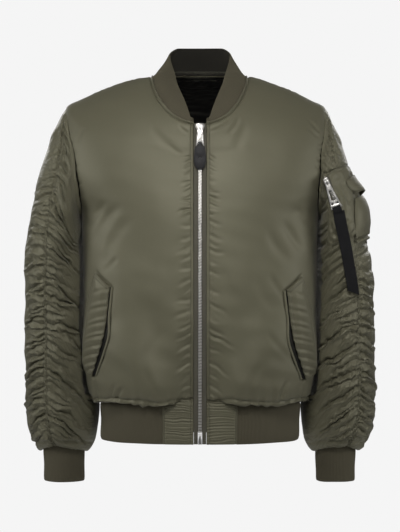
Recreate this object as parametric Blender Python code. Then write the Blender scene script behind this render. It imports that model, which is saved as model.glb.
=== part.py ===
"""Bomber jacket, filled out as when worn: each piece that is cut and sewn is a thin closed wall. Metres.

+X is the wearer's left, -Y the front, +Z up. The origin lies midway between the two shoulder-neck points.
"""

import math
from types import SimpleNamespace

import bmesh
import bpy
import numpy as np
from mathutils import Matrix

# ------------------------------------------------------------------ driving sizes

SEAM_GAP = 0.0003  # between two pieces that are sewn edge to edge
FOLDED_GAP = 0.0012  # where the cloth turns sharply at a seam, as above the waistband
ARMHOLE_GAP = {1: 0.0012, -1: 0.0014}  # on the wearer's left and right
CLOTH = 0.0030  # nylon, wadding and lining together
RIB = 0.0032  # doubled rib knit
TAPE = 0.0012  # zip tape
FLAP_LIFT = 0.0018  # air under what lies on a panel
FLAP_CLOTH = 0.0024
LINING = 0.0012
LINING_DEPTH = 0.0066  # how far inside the outer face the lining hangs

ZIP_HALF = 0.0110  # centre front to the edge of each front panel
CHAIN_HALF = 0.0033
CHAIN_THICK = 0.0030
TAPE_RECESS = 0.0015
SLIDER_LONG = 0.0180
BOX_LONG = 0.0140

RIDGE = 1.25  # how roundly the front falls away from the shoulder line: 1 is a fold, 2 is a barrel
ARMHOLE_FRONT = 29.0  # degrees that the armhole cuts into the front
ARMHOLE_BACK = 27.0
SLEEVE_CLEAR = 0.0050  # air between a hanging sleeve and the body
SLEEVE_CLEAR_SOFT = 0.020
ARMHOLE_BLEND = 0.30  # share of the sleeve over which the armhole's outline rounds out

ARM_STEPS = 9  # rows of a half armhole, so that a sleeve has twice as many sides
BODY_STEPS = 6
SHOULDER_STEPS = 4
FRONT_COLUMNS = 6
BACK_COLUMNS = 12
SLEEVE_STEPS = 18
TAB_SHARE = 0.18  # share of the front's width, at the hem, that the nylon tab takes

TORSO_COLUMNS = (
    "place", "half_width", "front", "back", "middle", "z_front", "z_side", "z_back", "square", "lean"
)
TORSO = (
    ("hem seam", 0.1765, 0.1175, 0.1095, 0.000, -0.5795, -0.5795, -0.5795, 2.30, 0.000),
    ("roll under", 0.1890, 0.1290, 0.1200, 0.000, -0.5860, -0.5885, -0.5860, 2.30, 0.000),
    ("roll out", 0.1975, 0.1360, 0.1275, 0.000, -0.5760, -0.5770, -0.5760, 2.30, 0.000),
    ("blouse", 0.2035, 0.1395, 0.1310, 0.000, -0.5500, -0.5490, -0.5500, 2.35, 0.000),
    ("low pocket", 0.2070, 0.1400, 0.1320, 0.000, -0.5130, -0.5120, -0.5130, 2.35, 0.000),
    ("waist", 0.2097, 0.1370, 0.1310, 0.000, -0.4450, -0.4450, -0.4450, 2.35, 0.000),
    ("belly", 0.2102, 0.1345, 0.1300, 0.000, -0.3700, -0.3700, -0.3700, 2.35, 0.000),
    ("low chest", 0.2108, 0.1325, 0.1310, 0.001, -0.3100, -0.3090, -0.3100, 2.35, 0.000),
    ("pit", 0.2130, 0.1305, 0.1320, 0.002, -0.2550, -0.2520, -0.2520, 2.40, 0.000),
    ("low arm", 0.2280, 0.1290, 0.1310, 0.004, -0.2280, -0.2100, -0.2080, 2.45, -0.002),
    ("mid arm", 0.2400, 0.1260, 0.1280, 0.005, -0.2000, -0.1550, -0.1520, 2.50, -0.004),
    ("high arm", 0.2400, 0.1215, 0.1210, 0.005, -0.1710, -0.1000, -0.0950, 2.40, -0.006),
    ("tip", 0.2325, 0.1170, 0.1110, 0.004, -0.1500, -0.0590, -0.0500, 2.30, -0.0075),
    ("outer shoulder", 0.2088, 0.1130, 0.1050, 0.001, -0.1370, -0.0455, -0.0360, 2.25, -0.0090),
    ("mid shoulder", 0.1600, 0.1070, 0.0950, -0.003, -0.1210, -0.0240, -0.0190, 2.20, -0.0090),
    ("inner shoulder", 0.1100, 0.1005, 0.0845, -0.008, -0.1050, -0.0078, -0.0030, 2.18, -0.0050),
    ("neck seam", 0.0830, 0.0930, 0.0740, -0.012, -0.0940, -0.0040, 0.0050, 2.15, -0.001),
)
# Broad swells and hollows of the body: from one place to another, degrees round from the centre front and height.
BODY_FOLD_COLUMNS = ("start_deg", "start_z", "end_deg", "end_z", "reach", "rise")
BODY_FOLDS = (
    (22, -0.545, 34, -0.470, 0.030, 0.0040),
    (-20, -0.548, -36, -0.480, 0.030, 0.0040),
    (14, -0.500, 20, -0.420, 0.020, -0.0030),
    (-14, -0.505, -19, -0.430, 0.020, -0.0030),
    (52, -0.250, 30, -0.330, 0.030, -0.0030),
    (-52, -0.250, -28, -0.320, 0.030, -0.0030),
    (130, -0.260, 158, -0.330, 0.035, -0.0040),
    (-130, -0.260, -160, -0.345, 0.035, -0.0040),
    (150, -0.545, 172, -0.480, 0.035, 0.0045),
    (-140, -0.545, -165, -0.470, 0.035, 0.0045),
)

SLEEVE_COLUMNS = (
    "place", "outer_right", "outer_left", "outer_z", "inner_x", "inner_z", "middle_y", "half_depth", "seam"
)
SLEEVE = (
    ("armhole", 0.2400, 0.2250, -0.0590, 0.2130, -0.2520, 0.004, 0.0660, 14),
    ("cap", 0.2520, 0.2358, -0.0810, 0.2180, -0.2590, 0.004, 0.0720, 37),
    ("low cap", 0.2700, 0.2520, -0.1170, 0.2160, -0.2680, 0.005, 0.0770, 56),
    ("upper arm", 0.2816, 0.2628, -0.1530, 0.2130, -0.2790, 0.006, 0.0800, 63),
    ("pen flap", 0.2925, 0.2740, -0.1910, 0.2105, -0.2920, 0.008, 0.0810, 66),
    ("pen pocket", 0.3015, 0.2870, -0.2330, 0.2080, -0.3090, 0.010, 0.0810, 70),
    ("above elbow", 0.3115, 0.2955, -0.2800, 0.2030, -0.3330, 0.013, 0.0800, 73),
    ("elbow", 0.3150, 0.3070, -0.3300, 0.1990, -0.3620, 0.017, 0.0790, 72),
    ("below elbow", 0.3165, 0.3125, -0.3800, 0.1930, -0.3950, 0.021, 0.0775, 70),
    ("upper forearm", 0.3160, 0.3145, -0.4300, 0.1890, -0.4350, 0.025, 0.0760, 69),
    ("mid forearm", 0.3160, 0.3160, -0.4900, 0.1860, -0.4900, 0.028, 0.0735, 68),
    ("low forearm", 0.3155, 0.3165, -0.5400, 0.1850, -0.5400, 0.031, 0.0710, 67),
    ("full", 0.3155, 0.3160, -0.5900, 0.1852, -0.5900, 0.033, 0.0690, 67),
    ("filled wrist", 0.3125, 0.3125, -0.6250, 0.1880, -0.6250, 0.033, 0.0650, 68),
    ("wrist", 0.3075, 0.3062, -0.6530, 0.1925, -0.6530, 0.032, 0.0570, 70),
    ("roll out", 0.2975, 0.2955, -0.6700, 0.2000, -0.6700, 0.031, 0.0460, 71),
    ("roll under", 0.2895, 0.2875, -0.6765, 0.2060, -0.6765, 0.030, 0.0375, 72),
    ("cuff seam", 0.2840, 0.2820, -0.6600, 0.2095, -0.6600, 0.030, 0.0305, 72),
)
SLEEVE_FOLD_COLUMNS = ("z", "rise", "reach", "slope_front", "slope_back")
SLEEVE_FOLDS = (
    (-0.230, -0.0030, 0.015, 0.040, 0.020),
    (-0.300, -0.0035, 0.015, 0.050, 0.025),
    (-0.365, -0.0035, 0.015, 0.055, 0.030),
    (-0.430, -0.0040, 0.015, 0.055, 0.030),
    (-0.495, -0.0040, 0.015, 0.050, 0.030),
    (-0.560, -0.0040, 0.015, 0.040, 0.025),
    (-0.615, -0.0035, 0.014, 0.025, 0.015),
)
POCKET_END_Z = -0.335  # the left sleeve lies flat above this, under its pocket
LEFT_SEAM_TURN = -9.0  # the left sleeve's gathered seam lies this much further out
UNDERARM_SEAM = 195.0
WRIST_LIFT = 0.0088

CUFF_COLUMNS = ("place", "drop", "width_share", "half_depth")  # the width as a share of the seam's
CUFF = (
    ("seam", 0.0000, 1.000, 0.0305),
    ("top", 0.0130, 1.000, 0.0303),
    ("body", 0.0460, 0.984, 0.0295),
    ("lip", 0.0690, 0.973, 0.0290),
    ("end", 0.0740, 0.930, 0.0275),
)

BAND_COLUMNS = ("place", "half_width", "front", "back", "z")
BAND = (
    ("seam", 0.1765, 0.1175, 0.1095, -0.5795),
    ("top", 0.1797, 0.1195, 0.1125, -0.5930),
    ("body", 0.1775, 0.1190, 0.1115, -0.6200),
    ("lip", 0.1785, 0.1195, 0.1120, -0.6460),
    ("end", 0.1765, 0.1180, 0.1100, -0.6540),
)
BAND_SQUARE = 2.30

COLLAR_COLUMNS = ("seam_deg", "edge_x", "edge_y", "edge_z", "bulge")
COLLAR = (
    (6.5, 0.0152, -0.1040, -0.0885, 0.0000),
    (20.0, 0.0200, -0.0950, -0.0730, 0.0010),
    (38.0, 0.0281, -0.0750, -0.0489, 0.0020),
    (54.0, 0.0335, -0.0560, -0.0345, 0.0030),
    (70.0, 0.0385, -0.0390, -0.0215, 0.0040),
    (87.0, 0.0450, -0.0140, 0.0015, 0.0045),
    (102.0, 0.0505, 0.0060, 0.0190, 0.0045),
    (123.0, 0.0560, 0.0290, 0.0400, 0.0040),
    (140.0, 0.0500, 0.0450, 0.0495, 0.0030),
    (156.0, 0.0385, 0.0545, 0.0545, 0.0025),
    (180.0, 0.0000, 0.0600, 0.0552, 0.0025),
)
COLLAR_STEPS = 4

FLAP_COLUMNS = ("front_deg", "front_z", "rear_deg", "rear_z")
FLAP = (
    (45.0, -0.3806, 57.9, -0.3554),
    (46.9, -0.4207, 66.5, -0.4030),
    (49.5, -0.4600, 73.0, -0.4420),
    (56.1, -0.4999, 80.0, -0.4830),
    (65.0, -0.5380, 87.0, -0.5260),
)
FLAP_LEFT_SHIFT = SimpleNamespace(degrees=-2.5, z=-0.006)  # the left flap sits this much lower and further in
FLAP_STEPS = 7

# The left sleeve's pocket pieces: each side by its angle and by the height of the sleeve's outer line there.
ON_SLEEVE_COLUMNS = ("first_deg", "first_z", "last_deg", "last_z", "bulge")
SLEEVE_PATCH = (
    (82, -0.0905, -22, -0.2030, 0.0),
    (100, -0.1267, -22, -0.2320, 0.0),
    (115, -0.1916, -22, -0.2700, 0.0),
    (124, -0.2636, -22, -0.3120, 0.0),
)
PEN_POCKET = (
    (42, -0.2090, -16, -0.2260, 0.0045),
    (51, -0.2200, -20, -0.2370, 0.0080),
    (57, -0.2360, -22, -0.2520, 0.0100),
    (60, -0.2580, -22, -0.2690, 0.0090),
    (61, -0.2770, -22, -0.2850, 0.0045),
    (61, -0.2920, -20, -0.2980, 0.0015),
)
PEN_FLAP = (
    (48, -0.1600, -8, -0.1900, 0.0020),
    (50, -0.1700, -12, -0.1990, 0.0040),
    (46, -0.1870, -14, -0.2100, 0.0085),
    (37, -0.2020, -14, -0.2200, 0.0120),
)
SLEEVE_ZIP = SimpleNamespace(top_x=0.2222, top_z=-0.1880, end_x=0.2590, end_z=-0.3080, half=0.0055)

PULL = SimpleNamespace(  # the front zip's pull: a waisted plate, open at its foot for the tag
    thick=0.0016, eye_half=0.0045, waist_half=0.0054, foot_half=0.0076, waist=0.0100, long=0.0330,
    arch_half=0.0046, arch=0.0070,
)
TAG = SimpleNamespace(  # the leather tag that hangs from the front pull
    thick=0.0022, neck_half=0.0038, top=0.0268, shoulder=0.0345, shoulder_half=0.0086,
    wide=0.0580, wide_half=0.0112, long=0.0735, end_half=0.0052,
)
SLEEVE_PULL = SimpleNamespace(top_x=0.2236, top_z=-0.1965, foot_x=0.2385, foot_z=-0.2430, slider_height=0.0041)
LADDER = SimpleNamespace(  # the sleeve zip's pull
    thick=0.0016, eye_half=0.0045, top_half=0.0046, foot_half=0.0106, long=0.0500,
)
RIBBON = SimpleNamespace(half=0.0104, thick=0.0015, lift=0.0090, end_lift=0.0065)
RIBBON_COLUMNS = ("x", "z")
RIBBON_LINE = (  # its middle, seen from the front
    (0.2405, -0.2475),
    (0.2480, -0.2790),
    (0.2555, -0.3150),
    (0.2625, -0.3520),
    (0.2690, -0.3900),
)
BRIDGE = SimpleNamespace(half=0.0011, long=0.0092, high=0.0052, bore=0.0040, floor=0.0010, roof=0.0042)

OLIVE = (0.130, 0.125, 0.085)
RIB_OLIVE = (0.060, 0.055, 0.038)
BLACK = (0.010, 0.010, 0.011)
TAPE_GREY = (0.050, 0.046, 0.036)
SILVER = (0.780, 0.770, 0.740)
LEATHER = (0.038, 0.038, 0.042)
RIBBON_BLACK = (0.012, 0.012, 0.014)


# ------------------------------------------------------------------ curves through tables

def smoothstep(low, high, value):
    share = min(max((value - low) / (high - low), 0.0), 1.0)
    return share * share * (3 - 2 * share)


def keeping_slopes(stations, rows):
    """Slopes for a curve through the rows that never overshoots them."""
    steps = np.diff(stations)[:, None]
    rises = np.diff(rows, axis=0) / steps
    slopes = np.zeros_like(rows)
    slopes[0], slopes[-1] = rises[0], rises[-1]
    same_way = rises[:-1] * rises[1:] > 0
    total = np.where(same_way, rises[:-1] + rises[1:], 1.0)
    slopes[1:-1] = np.where(same_way, 2 * rises[:-1] * rises[1:] / total, 0.0)
    return slopes


class Sections:
    """A table of sections, read as smooth curves at any station from 0 to 1 along its path."""

    def __init__(self, columns, rows, path):
        named = columns[0] == "place"
        self.places = [row[0] for row in rows] if named else []
        self.columns = columns[1:] if named else columns
        self.values = np.array([row[1:] if named else row for row in rows], float)
        points = np.array([path(self.named(row)) for row in self.values])
        steps = np.linalg.norm(np.diff(points, axis=0), axis=1)
        self.stations = np.concatenate([[0.0], np.cumsum(steps)]) / steps.sum()
        self.slopes = keeping_slopes(self.stations, self.values)

    def named(self, row):
        return SimpleNamespace(**dict(zip(self.columns, row)))

    def station(self, place):
        return float(self.stations[self.places.index(place)])

    def raw(self, station):
        station = min(max(station, 0.0), 1.0)
        k = min(int(np.searchsorted(self.stations, station, side="right")) - 1, len(self.stations) - 2)
        step = self.stations[k + 1] - self.stations[k]
        t = (station - self.stations[k]) / step
        return (
            self.values[k] * (2 * t**3 - 3 * t**2 + 1)
            + self.slopes[k] * step * (t**3 - 2 * t**2 + t)
            + self.values[k + 1] * (3 * t**2 - 2 * t**3)
            + self.slopes[k + 1] * step * (t**3 - t**2)
        )

    def at(self, station):
        return self.named(self.raw(station))

    def where(self, column, value, first=0.0, last=1.0):
        """The station where a column that rises or falls steadily has this value."""
        column_at = self.columns.index(column)
        stations = np.linspace(first, last, 241)
        found = np.array([self.raw(station)[column_at] for station in stations])
        if found[0] > found[-1]:
            return float(np.interp(-value, -found, stations))
        return float(np.interp(value, found, stations))


torso = Sections(TORSO_COLUMNS, TORSO, lambda row: (row.half_width, row.z_side))
sleeve = Sections(
    SLEEVE_COLUMNS, SLEEVE,
    lambda row: (row.outer_right + row.inner_x, row.outer_z + row.inner_z, row.middle_y),
)
WRIST_START, WRIST_END = sleeve.station("filled wrist"), sleeve.station("roll out")
band = Sections(BAND_COLUMNS, BAND, lambda row: (row.half_width, row.z))
cuff = Sections(CUFF_COLUMNS, CUFF, lambda row: (row.width_share / 30, row.drop))
collar = Sections(COLLAR_COLUMNS, COLLAR, lambda row: (row.seam_deg,))
flap = Sections(FLAP_COLUMNS, FLAP, lambda row: (row.front_deg / 90, row.front_z))
patch = Sections(ON_SLEEVE_COLUMNS, SLEEVE_PATCH, lambda row: (row.last_z,))
pen_pocket = Sections(ON_SLEEVE_COLUMNS, PEN_POCKET, lambda row: (row.last_z,))
pen_flap = Sections(ON_SLEEVE_COLUMNS, PEN_FLAP, lambda row: (row.last_z,))
ribbon_line = Sections(RIBBON_COLUMNS, RIBBON_LINE, lambda row: (row.x, row.z))

PIT = torso.station("pit")
TIP = torso.station("tip")
WAIST = torso.station("waist")
BLOUSE = torso.station("blouse")
ARM_MIDDLE = (PIT + TIP) / 2
ARM_HALF = (TIP - PIT) / 2
PIT_Z = torso.at(PIT).z_side


# ------------------------------------------------------------------ forms

def unit(vector):
    length = np.linalg.norm(vector)
    return vector / length if length > 1e-12 else vector


def round_section(degrees, square):
    """Side and front shares of a squarish oval, each from -1 to 1."""
    turn = math.radians(degrees)
    side, ahead = math.sin(turn), math.cos(turn)
    power = 2 / square
    return (
        math.copysign(abs(side) ** power, side),
        math.copysign(abs(ahead) ** power, ahead),
        side,
        ahead,
    )


def torso_row(degrees, level):
    """The section at a level. The strip beside the zip runs straight from the waist to the hem."""
    raw = torso.raw(level)
    flat = 1 - smoothstep(3.5, 16.0, abs(degrees))
    if level < WAIST and flat > 0:
        straight = torso.raw(0) + (torso.raw(WAIST) - torso.raw(0)) * (level / WAIST)
        raw = raw + (straight - raw) * flat
    return torso.named(raw)


def torso_form(degrees, level):
    """The body without its folds."""
    degrees = (degrees + 180) % 360 - 180
    row = torso_row(degrees, level)
    across, along, side, ahead = round_section(degrees, row.square)
    depth = row.front if ahead > 0 else row.back
    end_z = row.z_front if ahead > 0 else row.z_back
    return np.array([
        row.lean * side * side + row.half_width * across,
        row.middle - depth * along,
        row.z_side + (end_z - row.z_side) * abs(ahead) ** RIDGE,
    ])


def torso_normal(degrees, level):
    turn, rise = 0.6, 0.004
    low, high = max(level - rise, 0.0), min(level + rise, 1.0)
    around = torso_form(degrees + turn, level) - torso_form(degrees - turn, level)
    up = torso_form(degrees, high) - torso_form(degrees, low)
    return unit(np.cross(around, up))


def near_fold(degrees, z, fold):
    """How strongly a broad fold acts here: 1 on its line, fading out over its reach."""
    scale = 0.0030  # metres a degree, about
    place = np.array([((degrees + 180) % 360 - 180) * scale, z])
    start = np.array([fold.start_deg * scale, fold.start_z])
    end = np.array([fold.end_deg * scale, fold.end_z])
    share = np.dot(place - start, end - start) / np.dot(end - start, end - start)
    share = min(max(share, 0.0), 1.0)
    away = np.linalg.norm(place - start - (end - start) * share)
    return math.exp(-((away / fold.reach) ** 2))


body_folds = [SimpleNamespace(**dict(zip(BODY_FOLD_COLUMNS, row))) for row in BODY_FOLDS]
sleeve_folds = [SimpleNamespace(**dict(zip(SLEEVE_FOLD_COLUMNS, row))) for row in SLEEVE_FOLDS]


def torso_point(degrees, level, lift=0.0):
    """A point of the body's outer face, or one lifted off it."""
    point = torso_form(degrees, level)
    rise = sum(fold.rise * near_fold(degrees, point[2], fold) for fold in body_folds)
    rise *= smoothstep(0, BLOUSE, level)
    return point + torso_normal(degrees, level) * (rise + lift)


def body_level(z):
    """The level of a height below the armholes."""
    return torso.where("z_side", z, torso.station("roll out"), PIT)


def zip_degrees(level):
    """Where the front panel's edge is, round from the centre front."""
    row = torso_row(0, level)
    return math.degrees(math.asin((ZIP_HALF / row.half_width) ** (row.square / 2)))


def armhole_turn(psi):
    """Degrees round the body of the armhole, at an angle round it from its top forwards."""
    rise = math.sin(math.radians(psi))
    return 90 - (ARMHOLE_FRONT if rise > 0 else ARMHOLE_BACK) * rise


def armhole_level(psi):
    return ARM_MIDDLE + ARM_HALF * math.cos(math.radians(psi))


def armhole_point(side, psi):
    return torso_point(side * armhole_turn(psi), armhole_level(psi))


def girth_table():
    """Level sections of the body and waistband by height, for keeping the sleeves clear of them."""
    rows = []
    for station in np.linspace(1, 0, 6):
        row = band.at(station)
        rows.append((row.z, row.half_width, row.front, row.back, 0.0, BAND_SQUARE))
    for level in np.linspace(torso.station("roll under"), PIT, 40):
        row = torso.at(level)
        rows.append((row.z_side, row.half_width, row.front, row.back, row.middle, row.square))
    return np.array(sorted(rows))


GIRTHS = girth_table()


def keep_off_body(point):
    """Pushes a sleeve's point out of the body, and a little way off it."""
    x, y, z = point
    if z > PIT_Z:
        return point
    width, front, back, middle, square = (np.interp(z, GIRTHS[:, 0], column) for column in GIRTHS.T[1:])
    deep = y - middle
    depth = front if deep < 0 else back
    reach = ((abs(x) / width) ** square + (abs(deep) / depth) ** square) ** (1 / square)
    clear = SLEEVE_CLEAR * min((PIT_Z - z) / 0.05, 1.0)
    limit = 1 + clear / min(width, depth)
    past = reach - limit
    wanted = limit + (past + math.hypot(past, SLEEVE_CLEAR_SOFT)) / 2
    fade = min((PIT_Z - z) / 0.04, 1.0)
    scale = 1 + (wanted / reach - 1) * fade
    return np.array([x * scale, middle + deep * scale, z])


def wrist_lift(psi, station):
    """The front of the wrist is drawn up by the gathered seam."""
    ahead = max(math.sin(math.radians(psi)), 0.0)
    return WRIST_LIFT * ahead**1.5 * smoothstep(WRIST_START, WRIST_END, station)


def sleeve_oval(side, psi, station):
    row = sleeve.at(station)
    outer_x = row.outer_left if side > 0 else row.outer_right
    turn = math.radians(psi)
    out, ahead = math.cos(turn), math.sin(turn)
    return np.array([
        side * ((outer_x + row.inner_x) / 2 + out * (outer_x - row.inner_x) / 2),
        row.middle_y - row.half_depth * ahead,
        (row.outer_z + row.inner_z) / 2 + out * (row.outer_z - row.inner_z) / 2 + wrist_lift(psi, station),
    ])


def sleeve_form(side, psi, station):
    """The sleeve without its folds: it leaves the armhole with the armhole's own outline."""
    point = sleeve_oval(side, psi, station)
    fade = 1 - smoothstep(0, ARMHOLE_BLEND, station)
    if fade > 0:
        point = point + (armhole_point(side, psi) - sleeve_oval(side, psi, 0)) * fade
    if station > 0:
        point = keep_off_body(point)
    return point


def sleeve_normal(side, psi, station):
    turn, rise = 3.0, 0.004
    low, high = max(station - rise, 0.0), min(station + rise, 1.0)
    around = sleeve_form(side, psi + turn, station) - sleeve_form(side, psi - turn, station)
    down = sleeve_form(side, psi, high) - sleeve_form(side, psi, low)
    return unit(np.cross(around, down)) * side


def gathered_seam(side, station):
    seam = sleeve.at(station).seam
    return seam + (LEFT_SEAM_TURN * smoothstep(0.0, 0.2, station) if side > 0 else 0.0)


def sleeve_rise(side, psi, station, z):
    """The broad folds, which fall away from the gathered seam on both sides of it."""
    away = (psi - gathered_seam(side, station) + 180) % 360 - 180
    share = abs(away) / 180
    rise = 0.0
    for fold in sleeve_folds:
        slope = fold.slope_front if away > 0 else fold.slope_back
        height = fold.z - slope * share * 2
        strength = 1 - smoothstep(0.45, 0.85, share)
        rise += fold.rise * strength * math.exp(-(((z - height) / fold.reach) ** 2))
    return rise


def sleeve_point(side, psi, station, lift=0.0):
    point = sleeve_form(side, psi, station)
    rise = sleeve_rise(side, psi, station, point[2]) * smoothstep(0.05, 0.15, station)
    if side > 0:
        rise *= 1 - smoothstep(POCKET_END_Z - 0.03, POCKET_END_Z, point[2])
    return point + sleeve_normal(side, psi, station) * (rise + lift)


def sleeve_spot(side, x, z):
    """The angle and station of the sleeve's front face that lie at this place, seen from the front."""
    low_psi, high_psi, low, high = 5.0, 150.0, 0.02, 0.80
    for _ in range(5):
        best = min(
            (math.hypot(*(sleeve_form(side, psi, station)[[0, 2]] - (side * x, z))), psi, station)
            for psi in np.linspace(low_psi, high_psi, 12)
            for station in np.linspace(low, high, 14)
        )
        spread_psi, spread = (high_psi - low_psi) / 8, (high - low) / 8
        low_psi, high_psi = best[1] - spread_psi, best[1] + spread_psi
        low, high = max(best[2] - spread, 0.0), best[2] + spread
    return best[1], best[2]


def outer_station(z):
    return sleeve.where("outer_z", z, 0.0, sleeve.station("roll out"))


def band_point(degrees, share):
    row = band.at(share)
    across, along, _, ahead = round_section(degrees, BAND_SQUARE)
    depth = row.front if ahead > 0 else row.back
    return np.array([row.half_width * across, -depth * along, row.z])


def band_normal(degrees, share):
    around = band_point(degrees + 1, share) - band_point(degrees - 1, share)
    up = band_point(degrees, max(share - 0.02, 0)) - band_point(degrees, min(share + 0.02, 1))
    return unit(np.cross(around, up))


def cuff_point(side, psi, share):
    row, seam = cuff.at(share), sleeve.at(1)
    outer_x = seam.outer_left if side > 0 else seam.outer_right
    turn = math.radians(psi)
    return np.array([
        side * ((outer_x + seam.inner_x) / 2 + row.width_share * (outer_x - seam.inner_x) / 2 * math.cos(turn)),
        seam.middle_y - row.half_depth * math.sin(turn),
        seam.outer_z - row.drop + wrist_lift(psi, 1.0) * (1 - smoothstep(0.0, 0.6, share)),
    ])


def cuff_normal(side, psi, share):
    around = cuff_point(side, psi + 3, share) - cuff_point(side, psi - 3, share)
    down = cuff_point(side, psi, min(share + 0.02, 1)) - cuff_point(side, psi, max(share - 0.02, 0))
    return unit(np.cross(around, down)) * side


def collar_point(degrees, share):
    """From the neck seam, share 0, up to the free edge, share 1."""
    degrees = (degrees + 180) % 360 - 180
    side = math.copysign(1, degrees)
    row = collar.at(collar.where("seam_deg", abs(degrees)))
    seam = torso_form(degrees, 1.0)
    edge = np.array([side * row.edge_x, row.edge_y, row.edge_z])
    ahead = torso_form(degrees + side * 2, 1.0) - torso_form(degrees - side * 2, 1.0)
    out = unit(np.cross(ahead, edge - seam)) * side
    return seam + (edge - seam) * share + out * row.bulge * 4 * share * (1 - share)


def collar_normal(degrees, share):
    around = collar_point(degrees + 1, share) - collar_point(degrees - 1, share)
    up = collar_point(degrees, min(share + 0.05, 1)) - collar_point(degrees, max(share - 0.05, 0))
    return unit(np.cross(around, up))


def mitre(*normals):
    """The way a wall's edge faces where two pieces meet at an angle, so that neither wall enters the other."""
    return unit(sum(normals))


# ------------------------------------------------------------------ solids

def clear_scene():
    for obj in list(bpy.data.objects):
        bpy.data.objects.remove(obj, do_unlink=True)


def finish(name, colour, roughness, metallic=0.0):
    material = bpy.data.materials.new(name)
    material.use_nodes = True
    shader = material.node_tree.nodes["Principled BSDF"]
    shader.inputs["Base Color"].default_value = (*colour, 1.0)
    shader.inputs["Roughness"].default_value = roughness
    shader.inputs["Metallic"].default_value = metallic
    material.diffuse_color = (*colour, 1.0)
    return material


def place(name, mesh, material, world=None):
    obj = bpy.data.objects.new(name, mesh)
    bpy.context.scene.collection.objects.link(obj)
    mesh.materials.append(material)
    if world is not None:
        obj.matrix_world = world
    return obj


def trim(grid, gaps, around):
    """Draws each edge of a grid in by its gap, along the cloth: first row, last row, first and last column."""
    eased = grid.copy()
    top, bottom, left, right = gaps
    eased[0] += [unit(step) * top for step in grid[1] - grid[0]]
    eased[-1] += [unit(step) * bottom for step in grid[-2] - grid[-1]]
    if not around:
        eased[:, 0] += [unit(step) * left for step in grid[:, 1] - grid[:, 0]]
        eased[:, -1] += [unit(step) * right for step in grid[:, -2] - grid[:, -1]]
    return eased


def wall(name, points, normals, thickness, colour, roughness, gaps=(SEAM_GAP / 2,) * 4, around=False):
    """A closed wall from rows of points on its outer face: the inner face lies a thickness inside."""
    outer = trim(np.array(points, float), gaps, around)
    inner = outer - np.array(normals, float) * thickness
    rows, columns = outer.shape[:2]
    shape = bmesh.new()
    faces = [[[shape.verts.new(p) for p in row] for row in skin] for skin in (outer, inner)]
    last = columns if around else columns - 1
    for k, skin in enumerate(faces):
        for r in range(rows - 1):
            for c in range(last):
                n = (c + 1) % columns
                shape.faces.new((skin[r][c], skin[r][n], skin[r + 1][n], skin[r + 1][c]))
    out, ins = faces
    for r in (0, rows - 1):
        for c in range(last):
            n = (c + 1) % columns
            shape.faces.new((out[r][c], out[r][n], ins[r][n], ins[r][c]))
    if not around:
        for c in (0, columns - 1):
            for r in range(rows - 1):
                shape.faces.new((out[r][c], out[r + 1][c], ins[r + 1][c], ins[r][c]))
    bmesh.ops.recalc_face_normals(shape, faces=shape.faces)
    mesh = bpy.data.meshes.new(name)
    shape.to_mesh(mesh)
    shape.free()
    mesh.shade_smooth()
    mesh.set_sharp_from_angle(angle=math.radians(50))
    return place(name, mesh, finish(name, colour, roughness))


def prism(name, outline, holes, low, high, material, world, plane="XY"):
    """A flat plate with holes, from one height to another above its plane."""
    shape = bmesh.new()
    edges = []
    for ring in [outline, *holes]:
        corners = [shape.verts.new((a, b, low) if plane == "XY" else (low, a, b)) for a, b in ring]
        edges += [shape.edges.new((a, b)) for a, b in zip(corners, corners[1:] + corners[:1])]
    filled = bmesh.ops.triangle_fill(shape, edges=edges, use_beauty=True)
    faces = [face for face in filled["geom"] if isinstance(face, bmesh.types.BMFace)]
    raised = bmesh.ops.extrude_face_region(shape, geom=faces)
    step = (0, 0, high - low) if plane == "XY" else (high - low, 0, 0)
    moved = [vert for vert in raised["geom"] if isinstance(vert, bmesh.types.BMVert)]
    bmesh.ops.translate(shape, verts=moved, vec=step)
    bmesh.ops.recalc_face_normals(shape, faces=shape.faces)
    mesh = bpy.data.meshes.new(name)
    shape.to_mesh(mesh)
    shape.free()
    return place(name, mesh, material, world)


def join(target, tool):
    """Makes two solids that overlap into one."""
    tool.hide_render = True
    tool.display_type = "WIRE"
    modifier = target.modifiers.new("joined", "BOOLEAN")
    modifier.operation = "UNION"
    modifier.object = tool


def both_ways(half_outline):
    """A closed outline from its right half, listed from the top down."""
    return [*half_outline, *[(-x, y) for x, y in reversed(half_outline)]]


def arc_ring(x, y, radius, sides=8):
    turns = [2 * math.pi * k / sides for k in range(sides)]
    return [(x + radius * math.cos(turn), y + radius * math.sin(turn)) for turn in turns]


# ------------------------------------------------------------------ body

def panel_levels():
    """Levels of a panel's rows, from hem seam to neck seam, with their angles round the armhole."""
    low = [torso.station(where) for where in ("hem seam", "roll under", "roll out", "blouse")]
    body = np.linspace(low[-1], PIT, BODY_STEPS + 1)[1:-1]
    arm = [(armhole_level(psi), psi) for psi in np.linspace(180, 0, ARM_STEPS + 1)]
    top = np.linspace(TIP, 1, SHOULDER_STEPS + 1)[1:]
    return [(level, None) for level in [*low, *body]] + arm + [(level, None) for level in top]


FRONT_SHARES = [0.0, TAB_SHARE, *np.linspace(TAB_SHARE, 1, FRONT_COLUMNS + 1)[1:]]
LEVELS = panel_levels()


def edge_normal(side, degrees, level, psi):
    """The outward direction at a panel's point, shared with the piece that is sewn on where it has one."""
    own = torso_normal(degrees, level)
    if psi is not None:
        return mitre(own, sleeve_normal(side, psi, 0.0))
    if level == 0:
        return mitre(own, band_normal(degrees, 0))
    if level == 1:
        return mitre(own, collar_normal(degrees, 0))
    return own


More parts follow.
